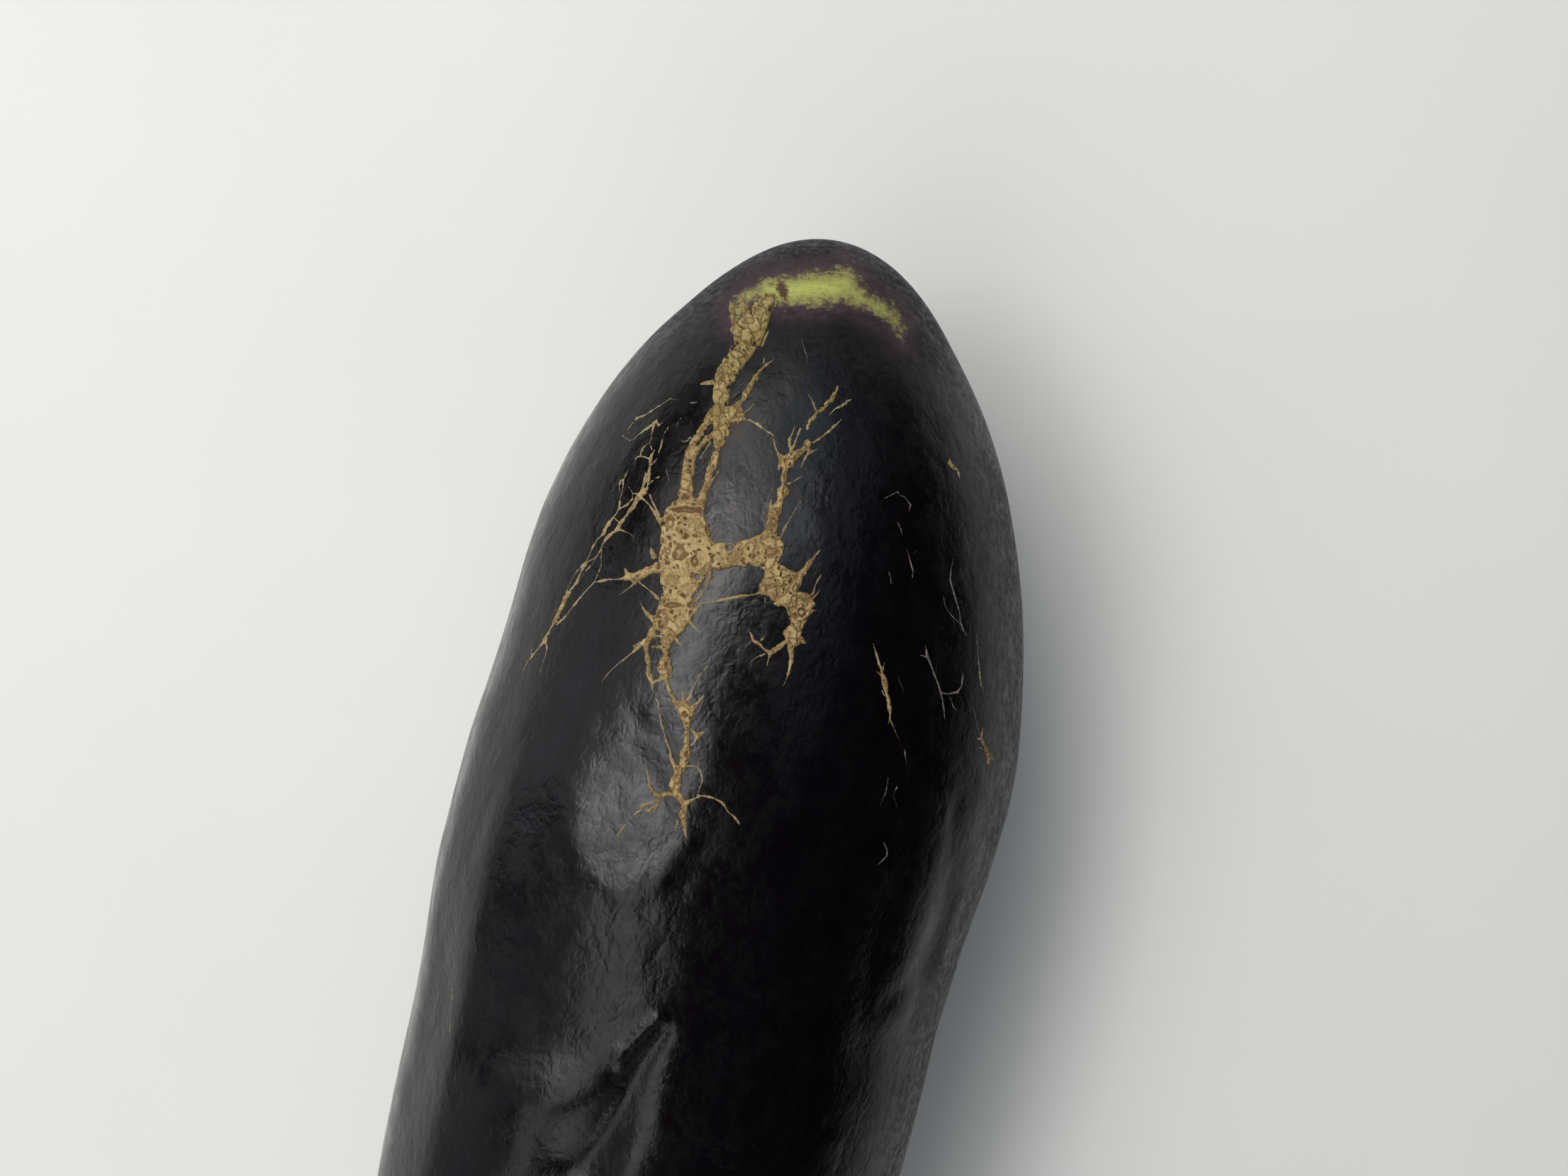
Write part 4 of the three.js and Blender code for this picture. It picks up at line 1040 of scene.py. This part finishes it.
def make_fruit():
    """The whole skin as one closed grid. Its rows go by the cosine of an even angle, so they close up
    towards both ends, and its columns are shifted by a sine of the turn, so they close up on top,
    where the relief is. It carries the distances to the green patch and the pit, and how dull it is."""

    def surface(turn, row):
        s = FRUIT_LENGTH * (1 - np.cos(pi * row / SKIN_ROWS)) / 2
        return skin(s, turn - SKIN_COLUMNS_UPWARDS * np.sin(turn))

    points, faces, _, _ = round_grid(surface, SKIN_COLUMNS, SKIN_ROWS)
    piece = new_piece("skin", points, faces, skin_material(), "fruit")
    right, down = to_trace(points)
    s, height = BLOSSOM_END_Y - points[:, 1], points[:, 2] - CENTRE_HEIGHT
    below = PUSHED_OFF * smoothstep(SEEN_HEIGHT, 0, height)
    bulge = beads_field(right, down, PATCH_BULGE) + BULGE_FAINTER
    patch = np.minimum(beads_field(right, down, PATCH), bulge)
    patch = np.maximum(patch, -ISLAND_DEPTH - beads_field(right, down, PURPLE_ISLAND)) + below
    dull = np.maximum(smoothstep(*DULL_BY_PATCH, patch), smoothstep(*DULL_BY_END, s))
    aside = points[:, 0] - bow(s)
    flank = smoothstep(*DULL_FLANK_HEIGHT, height) * smoothstep(*DULL_FLANK_ASIDE, aside)
    dull = np.maximum(dull, DULL_FLANK * flank)
    paint(piece, patch_gap=patch, pit_gap=beads_field(right, down, BLOSSOM_PIT) + below, dull=dull)


def strand_field(right, down, strands):
    """Depth inside the strands, negative outside, with a small fillet where two strands meet, then how
    near their middle lines a place is, from 0 at the edge to 1, and the half width of the strand."""
    field = np.full(right.shape, OUTSIDE)
    core, thickness = np.zeros(right.shape), np.zeros(right.shape)
    corner = np.array((right[0, 0], down[0, 0]))
    step = right[1, 0] - right[0, 0]
    for strand in strands:
        beads = np.array(strand)
        reach = beads[:, 2].max() + STRAND_REACH
        (i0, j0), (i1, j1) = (np.maximum((end - corner) / step, 0).astype(int) for end in
                              (beads[:, :2].min(0) - reach, beads[:, :2].max(0) + reach))
        window = np.s_[i0:i1, j0:j1]
        if field[window].size == 0:
            continue
        depth = np.full(field[window].shape, OUTSIDE)
        for gap, width in chain_gaps(right[window], down[window], strand):
            deeper = width - gap > depth
            depth = np.where(deeper, width - gap, depth)
            core[window] = np.maximum(core[window], 1 - gap / width)
            thickness[window] = np.where(deeper & (depth > field[window]), width, thickness[window])
        fillet = np.clip(FILLET_SHARE * beads[:, 2].mean(), *FILLET_LIMITS)
        meet = np.maximum(fillet - np.abs(field[window] - depth), 0) / fillet
        field[window] = np.maximum(field[window], depth) + meet * meet * fillet / 4
    return field, core, thickness


def cells(right, down, size, name):
    """Cells round scattered points, one in each square of a size: the distance to the nearest point,
    how much farther the second nearest is, and the nearest one's own random value."""
    seed = SEEDS[name]
    x, y = right / size, down / size
    cell = np.stack([np.floor(x), np.floor(y)], -1).astype(np.int64)
    nearest = np.full(x.shape, -OUTSIDE)
    second = nearest.copy()
    value = np.zeros(x.shape)
    for offset in product((-1, 0, 1), repeat=2):
        at = cell + offset
        px = at[..., 0] + 0.5 + CELL_SCATTER * scattered(at, seed)
        py = at[..., 1] + 0.5 + CELL_SCATTER * scattered(at, seed + 1)
        gap = np.hypot(x - px, y - py)
        closer = gap < nearest
        second = np.where(closer, nearest, np.minimum(second, gap))
        nearest = np.where(closer, gap, nearest)
        value = np.where(closer, scattered(at, seed + 2), value)
    return nearest * size, (second - nearest) * size, value


# For each pattern of inside corners of a cell, counted 1 2 4 8 round it: its polygons as corners 0 to
# 3 and crossed sides 4 to 7, where side 4 joins corners 0 and 1
CELL_POLYGONS = {
    1: ((0, 4, 7),), 2: ((1, 5, 4),), 4: ((2, 6, 5),), 8: ((3, 7, 6),),
    3: ((0, 1, 5, 7),), 6: ((1, 2, 6, 4),), 12: ((2, 3, 7, 5),), 9: ((3, 0, 4, 6),),
    5: ((0, 4, 7), (2, 6, 5)), 10: ((1, 5, 4), (3, 7, 6)),
    7: ((0, 1, 2, 6, 7),), 14: ((1, 2, 3, 7, 4),), 13: ((2, 3, 0, 4, 5),), 11: ((3, 0, 1, 5, 6),),
    15: ((0, 1, 2, 3),),
}


def filled_outline(outline, *layers):
    """Triangles that fill the part of a grid where the outline is above 0, their edge laid evenly
    between grid points. Gives each layer's values at the vertices, the triangles, and the pairs of
    vertices along the edge."""
    inside = outline > 0
    count = int(inside.sum())
    grid_id = np.full(outline.shape, -1)
    grid_id[inside] = np.arange(count)
    parts = [np.stack([layer[inside] for layer in layers], -1)]
    sides = []
    for near, far in ((np.s_[:-1], np.s_[1:]), (np.s_[:, :-1], np.s_[:, 1:])):
        crossed = inside[near] != inside[far]
        start, end = outline[near][crossed], outline[far][crossed]
        share = np.clip(start / (start - end), NEAREST_CROSSING, 1 - NEAREST_CROSSING)[:, None]
        here = np.stack([layer[near][crossed] for layer in layers], -1)
        there = np.stack([layer[far][crossed] for layer in layers], -1)
        side_id = np.full(crossed.shape, -1)
        side_id[crossed] = count + np.arange(len(share))
        count += len(share)
        parts.append(here + share * (there - here))
        sides.append(side_id)
    corners = (grid_id[:-1, :-1], grid_id[1:, :-1], grid_id[1:, 1:], grid_id[:-1, 1:])
    local = np.stack(corners + (sides[0][:, :-1], sides[1][1:], sides[0][:, 1:], sides[1][:-1]), -1)
    pattern = sum((corner >= 0) << bit for bit, corner in enumerate(corners))
    triangles, edge = [], []
    for key, polygons in CELL_POLYGONS.items():
        squares = local[pattern == key]
        for polygon in polygons:
            triangles += [squares[:, (polygon[0], polygon[i], polygon[i + 1])]
                          for i in range(1, len(polygon) - 1)]
            edge += [squares[:, pair] for pair in zip(polygon, polygon[1:] + polygon[:1])
                     if min(pair) >= len(corners)]
    return np.vstack(parts).T, np.vstack(triangles), np.vstack(edge)


def ragged(right, down, strands, amount):
    """The strands' field with a rough edge: lumps and small nicks in keeping with how deep inside the
    strand the place is, which never part a strand along its middle line. Fine strands are narrowed a
    little, and broad ones widened towards the blossom end. Gives the strands' half width too."""
    field, core, thickness = strand_field(right, down, strands)
    room = np.clip(field + ROOM_RIM, *ROOM_LIMITS)
    lumps = sum(share * lump_noise((right / size, down / size), name) for size, share, name in EDGE_LUMPS)
    lines = np.abs(lump_noise((right / NICK_SIZE, down / NICK_SIZE), "edge nicks"))
    nicks = smoothstep(NICK_WIDTH, 0.0, lines)
    upper = smoothstep(*UPPER_SCAR, down)
    amount = amount * (1 + UPPER_RAGGED * upper + HEAD_RAGGED * smoothstep(*TRUNK_HEAD, down))
    narrowed = FINE_NARROWED * smoothstep(*FINE_STRANDS, thickness)
    widened = UPPER_WIDENED * upper * smoothstep(*BROAD_STRANDS, thickness)
    rough = field - narrowed + widened + room * amount * (lumps - NICK_SHARE * nicks)
    held = np.maximum(rough, HELD_THREAD * (core - HELD_CORE))
    return np.where(core > HELD_CORE, held, rough), thickness


def raised_shell(name, grid, field, thickness, window, look, material):
    """Tissue standing off the skin: the field's outline inside a window of the trace, filled and laid
    on the skin. The top swells from the edge inwards by the look's relief, the bottom lies a root deep
    inside the skin, and a wall joins them round the edge."""
    right, down = grid
    x0, x1, d0, d1 = window
    bounds = np.minimum(np.minimum(right - x0, x1 - right), np.minimum(down - d0, d1 - down))
    rows = (right[:, 0] > x0 - WINDOW_MARGIN) & (right[:, 0] < x1 + WINDOW_MARGIN)
    columns = (down[0] > d0 - WINDOW_MARGIN) & (down[0] < d1 + WINDOW_MARGIN)
    part = np.ix_(rows, columns)
    outline = np.minimum(field[part], bounds[part])
    outline[[0, -1], :] = outline[:, [0, -1]] = -1
    places, triangles, edge = filled_outline(outline, right[part], down[part], field[part],
                                             thickness[part])
    x, d = places[:2]
    rise, fields = look(*places)
    s, turn = from_trace(x, d)
    base, normal = skin(s, turn), skin_normal(s, turn)
    top = base + normal * rise[:, None]
    bottom = base - normal * TISSUE_ROOT
    count = len(x)
    a, b = edge.T
    wall = np.vstack([np.stack([a, b, a + count], -1), np.stack([b, b + count, a + count], -1)])
    faces = np.vstack([triangles[:, ::-1], triangles + count, wall])
    piece = new_piece(name, np.vstack([top, bottom]), faces, material)
    paint(piece, **{key: np.tile(value, 2) for key, value in fields.items()})


def cork_look(x, d, depth, thickness):
    """Rise and colour fields of the cork: a swell that grows from the edge inwards, times lumps parted
    by soft grooves, small bent pits with lighter rims, ridges, round craters, and a grain."""

    def noise(amount, size, name):
        return amount * lump_noise((x / size, d / size), name)

    def band(radius, steps, near):
        return smoothstep(steps[0] * radius, steps[1] * radius, near)

    depth = np.maximum(depth, 0)
    inner = smoothstep(*INNER_CORK, depth)
    bend = noise(*CORK_BEND, "bend"), noise(*CORK_BEND, "bend across")
    wander = noise(*CORK_WANDER, "wander")
    _, lump_gap, lump = cells(x + wander + bend[0], d - wander + bend[1], LUMP_CELLS, "cork lumps")
    heart = np.exp(-(((x - HEART[0]) / HEART[2]) ** 4) - ((d - HEART[1]) / HEART[3]) ** 4)
    upper = smoothstep(*UPPER_CORK, d)
    groove = smoothstep(*GROOVE_WIDTH, lump_gap) * (
        GROOVE_DEPTH - HEART_GROOVES_LESS * heart + UPPER_GROOVES_MORE * upper)
    pit, rim = GROOVE_PIT * groove * inner, np.zeros(len(x))
    for size, widest, least, name in CORK_PITS:
        near, _, chance = cells(x + bend[0], (d + bend[1]) * PIT_SQUASH, size, name)
        radius = widest * smoothstep(least, 1, chance) * (1 - UPPER_PITS_LESS * upper)
        radius = radius + LEAST_RADIUS
        pit = np.maximum(pit, band(radius, PIT_WALL, near) * inner)
        ring = band(radius, PIT_RIM_OUTER, near) * band(radius, PIT_RIM_INNER, near)
        rim = np.maximum(rim, ring * inner * (radius > LEAST_RIMMED))
    lines = np.abs(lump_noise((x / RIDGE_SIZES[0] + bend[1], d / RIDGE_SIZES[1]), "ridges"))
    rim = np.maximum(rim, RIDGE_SHARE * smoothstep(*RIDGE_WIDTH, lines) * inner * (1 - pit))
    ragged_rims = noise(*CRATER_RAGGED, "crater rims")
    for cx, cd, wide, tall, deep in CRATERS:
        out = np.hypot((x - cx) / wide, (d - cd) / tall) + ragged_rims
        bowl = smoothstep(*CRATER_BOWL, out) * (1 - KNOB_SHARE * smoothstep(*CRATER_KNOB, out))
        pit = np.maximum(pit * smoothstep(*CRATER_CLEARS, out), deep * bowl)
        rim = np.maximum(rim, smoothstep(*CRATER_RIM_OUTER, out) * smoothstep(*CRATER_RIM_INNER, out))
    full = THIN_SWELL + (1 - THIN_SWELL) * smoothstep(*FULL_SWELL, thickness)
    swell = (1 - np.exp(-depth / CORK_SHOULDER)) * full
    forms = 1 + LUMP_RISE * lump * inner + RIM_RISE * rim - PIT_SINK * pit + noise(
        GRAIN_RISE, GRAIN_SIZE, "cork grain")
    fields = {
        "pit": np.clip(pit, 0, 1), "rim": np.clip(rim, 0, 1), "lump": lump * 0.5 + 0.5,
        "edge": smoothstep(*EDGE_COLOUR, depth) * smoothstep(*EDGE_COLOUR_STRANDS, thickness),
        "thin": smoothstep(*THIN_COLOUR, thickness), "upper": upper,
    }
    return CORK_EDGE + CORK_RISE * swell * forms, fields


def crack_look(x, d, depth, thickness):
    """Rise of the thin cracks: a low, slightly beaded welt, whatever their thickness."""
    beads = lump_noise((x / CRACK_BEAD_SIZE, d / CRACK_BEAD_SIZE), "beads")
    swell = 1 - np.exp(-np.maximum(depth, 0) / CRACK_SHOULDER)
    return CRACK_EDGE + CRACK_RISE * swell * (1 + CRACK_BEAD_RISE * beads), {}


def make_scar():
    """The cork scar and the thin cracks. Each comes from one field over the whole trace, cut in windows
    so that no piece is too fine."""

    def grid_over(windows, step):
        left, right, upper, lower = np.array(windows).T
        return np.meshgrid(np.arange(left.min() - GRID_MARGIN, right.max() + GRID_MARGIN, step),
                           np.arange(upper.min() - GRID_MARGIN, lower.max() + GRID_MARGIN, step),
                           indexing="ij")

    grid = grid_over([window for _, window in CORK_WINDOWS], CORK_GRID)
    field, thickness = ragged(*grid, CORK_STRANDS, CORK_RAGGED)
    amount, size = HOLE_RAGGED
    wobble = amount * lump_noise((grid[0] / size, grid[1] / size), "edge lumps")
    for x, d, radius in CORK_HOLES:
        field = np.minimum(field, np.hypot(grid[0] - x, grid[1] - d) - radius + wobble)
    cork = cork_material()
    for name, window in CORK_WINDOWS:
        raised_shell(name, grid, field, thickness, window, cork_look, cork)
    grid = grid_over([CRACK_WINDOW], CRACK_GRID)
    field, thickness = ragged(*grid, PALE_CRACKS, CRACK_RAGGED)
    raised_shell("pale_cracks", grid, field, thickness, CRACK_WINDOW, crack_look, crack_material())


def calyx_reach(turn):
    """Reach of the cap from the stem end, which is a power of the way from a notch to a lobe's middle,
    over a common notch line, and how far aside of the nearest lobe's middle a turn is, from 0 to 1."""
    place = np.mod((turn - LOBE_TURN) / (2 * pi) * LOBES, LOBES)
    lobe = np.round(place).astype(int) % LOBES
    aside = np.abs(place - np.round(place)) * 2
    return LOBE_NOTCH + (np.array(LOBE_TIPS)[lobe] - LOBE_NOTCH) * (1 - aside) ** LOBE_TAPER, aside


def calyx_skin(gone, turn, outer, lift):
    """A point over the skin, gone from the stem end, on the cap's inner or outer face, and lifted. The
    cap thins with the square of the way to its rim, and its lobes curl up with the fourth power."""
    reach = calyx_reach(turn)[0]
    share = gone / reach
    s = FRUIT_LENGTH - gone
    tip = smoothstep(LOBE_NOTCH, LOBE_TIPS[0], reach) * share**4
    thickness = CALYX_EDGE + (CALYX_THICKNESS - CALYX_EDGE) * (1 - share) ** 2
    height = CALYX_GAP + LOBE_CURL * tip + np.where(outer, thickness, 0) + lift
    return skin(s, turn) + skin_normal(s, turn) * height[..., None]


def make_calyx():
    """The cap: over its inner face from the middle to the rim, round the rim, and back over its outer
    face, which carries a rib down each lobe and finer veins beside it."""
    half = CALYX_ROWS

    def outwards(row):
        """Whether a row is on the outer face, and its share of the way from the middle to the rim."""
        outer = row > half
        return outer, (np.where(outer, 2 * half + 1 - row, row) / half) ** CALYX_CROWDING

    def veins(turn, share):
        """A bell across each lobe's middle, and a high power of a cosine for the finer veins."""
        aside = calyx_reach(turn)[1]
        middle = np.exp(-((aside / MIDDLE_WIDTH) ** 2))
        fan = np.cos(aside * FINE_COUNT + share * FINE_SLANT) ** 6
        fan = fan * (1 - smoothstep(*FINE_VEINS_FADE, aside))
        along = smoothstep(*VEINS_START, share) * smoothstep(*VEINS_END, share)
        return (MIDDLE_VEIN * middle + FINE_VEINS * fan) * along

    def surface(turn, row):
        outer, share = outwards(row)
        x, y = np.sin(turn) * CAP_WAVES_ROUND, np.cos(turn) * CAP_WAVES_ROUND
        wave = CAP_WAVE * lump_noise((x, y, share * CAP_WAVES_OUTWARDS), "cap waves")
        lift = VEIN_RISE * veins(turn, share) + wave * smoothstep(*CAP_WAVES_START, share)
        return calyx_skin(calyx_reach(turn)[0] * share, turn, outer, np.where(outer, lift, 0.0))

    points, faces, turn, row = round_grid(surface, CALYX_COLUMNS, 2 * half + 1)
    piece = new_piece("calyx_cap", points, faces, calyx_material(), "calyx")
    share = outwards(row)[1]
    rim = smoothstep(*DRY_RIM, (1 - share) * calyx_reach(turn)[0])
    paint(piece, vein=veins(turn, share), rim=rim)


def make_stem():
    """The stalk: a foot that follows the cap, a ribbed shaft with a small bend, and a rough cut end.
    The shaft's radius is a flare that dies out with the fifth power of the way along it, and a
    widening with the third, times coarse and fine ribs."""
    shaft_rows = STEM_ROWS - STEM_FOOT_ROWS - STEM_CUT_ROWS
    middle = calyx_skin(np.zeros(1), np.zeros(1), True, STEM_GAP)[0]

    def inwards(row):
        """1 along the shaft, then down to 0 at the middle of the cut end."""
        return np.clip((STEM_ROWS - row) / STEM_CUT_ROWS, 0, 1)

    def surface(turn, row):
        foot = STEM_FOOT_DROP * (np.minimum(row, STEM_FOOT_ROWS) / STEM_FOOT_ROWS) ** 2
        under = calyx_skin(foot, turn, True, STEM_GAP)
        t = np.clip((row - STEM_FOOT_ROWS) / shaft_rows, 0, 1)
        flare = (STEM_FOOT_RADIUS - STEM_RADIUS) * (1 - t) ** 5
        width = STEM_RADIUS + flare + (STEM_CUT_RADIUS - STEM_RADIUS) * t**3
        rib = 1 + STEM_RIB * np.cos(LOBES * (turn - LOBE_TURN) + t)
        round_it = np.sin(turn) * STEM_LUMPS_ROUND, np.cos(turn) * STEM_LUMPS_ROUND
        lumps = STEM_LUMP * lump_noise((*round_it, t * STEM_LUMPS_ALONG), "stalk")
        fine = 1 + FINE_RIB * np.cos(FINE_RIBS * turn + RIB_TWIST * t) + lumps
        radius = width * rib * fine * inwards(row)
        across, up = radius * np.sin(turn), radius * np.cos(turn)
        cut = 1 - inwards(row)
        rough = CUT_ROUGH * lump_noise((across, up), "cut end") * cut
        x = middle[0] + STEM_BEND[0] * t * t + across
        y = middle[1] - STEM_LENGTH * t + CUT_HOLLOW * cut + rough
        z = middle[2] + STEM_BEND[1] * t * t + up
        shaft = np.stack([x, y, z], -1)
        on_foot = (row < STEM_FOOT_ROWS)[..., None]
        blend = smoothstep(0, STEM_JOIN, t)[..., None]
        return np.where(on_foot, under, under * (1 - blend) + shaft * blend)

    points, faces, turn, row = round_grid(surface, STEM_COLUMNS, STEM_ROWS)
    piece = new_piece("stalk", points, faces, stem_material(), "stem")
    paint(piece, cut=row > STEM_ROWS - STEM_CUT_ROWS, cut_place=inwards(row))


# Surroundings


def make_floor():
    """A pale level board, far larger than the view."""
    mesh = bpy.data.meshes.new("board")
    corners = [(x * BOARD_HALF, y * BOARD_HALF, 0) for x, y in ((-1, -1), (1, -1), (1, 1), (-1, 1))]
    mesh.from_pydata(corners, [], [(0, 1, 2, 3)])
    mesh.materials.append(floor_material())
    board = add_object("board", mesh)


def make_lamp(name, middle, length, width, brightness, colour, along=(0, 1, 0)):
    """A soft rectangular lamp that faces the fruit, its long side as near as it can be to along."""
    data = bpy.data.lights.new(name, "AREA")
    data.shape = "RECTANGLE"
    data.size, data.size_y = width, length
    data.energy = pi * length * width * brightness
    data.color = colour
    back = (Vector(middle) - Vector(LAMP_TARGET)).normalized()
    across = Vector(along).cross(back).normalized()
    turn = Matrix((across, back.cross(across), back)).transposed()
    lamp = add_object(name, data, Matrix.Translation(middle) @ turn.to_4x4())
    lamp.visible_camera = False


def make_lights():
    """Square soft lamps on a dome round the fruit, each with its own brightness, most of them to the
    left and ahead so that the right flank reflects little, two long lamps, and a dim surround."""
    world = bpy.data.worlds.new("surround")
    world.use_nodes = True
    background = world.node_tree.nodes["Background"].inputs
    background["Color"].default_value = (1, 1, 1, 1)
    background["Strength"].default_value = SURROUND
    bpy.context.scene.world = world
    for azimuth, elevation, brightness, colour in LAMPS:
        level = LAMP_DISTANCE * np.cos(radians(elevation))
        away = Vector((level * np.sin(radians(azimuth)), level * np.cos(radians(azimuth)),
                       LAMP_DISTANCE * np.sin(radians(elevation))))
        middle = Vector(LAMP_TARGET) + away
        make_lamp(f"lamp_{azimuth}_{elevation}", middle, LAMP_SIZE, LAMP_SIZE, brightness, colour)
    for first, last, width, brightness, colour in STRIPS:
        middle, along = (Vector(first) + Vector(last)) / 2, Vector(last) - Vector(first)
        make_lamp("long_lamp", middle, along.length, width, brightness, colour, along)


def make_camera():
    """Looks straight down from the eye that the scar was traced from."""
    data = bpy.data.cameras.new("camera")
    data.sensor_width = SENSOR
    data.lens = LENS
    eye = [v * MM for v in (EYE_X, BLOSSOM_END_Y - EYE_STATION, CENTRE_HEIGHT + EYE_HEIGHT)]
    turned = Matrix.Rotation(TRACE_TURN, 4, "Z")
    bpy.context.scene.camera = add_object("camera", data, Matrix.Translation(eye) @ turned)
    bpy.context.scene.view_settings.view_transform = "Standard"


make_fruit()
make_scar()
make_calyx()
make_stem()
make_floor()
make_lights()
make_camera()
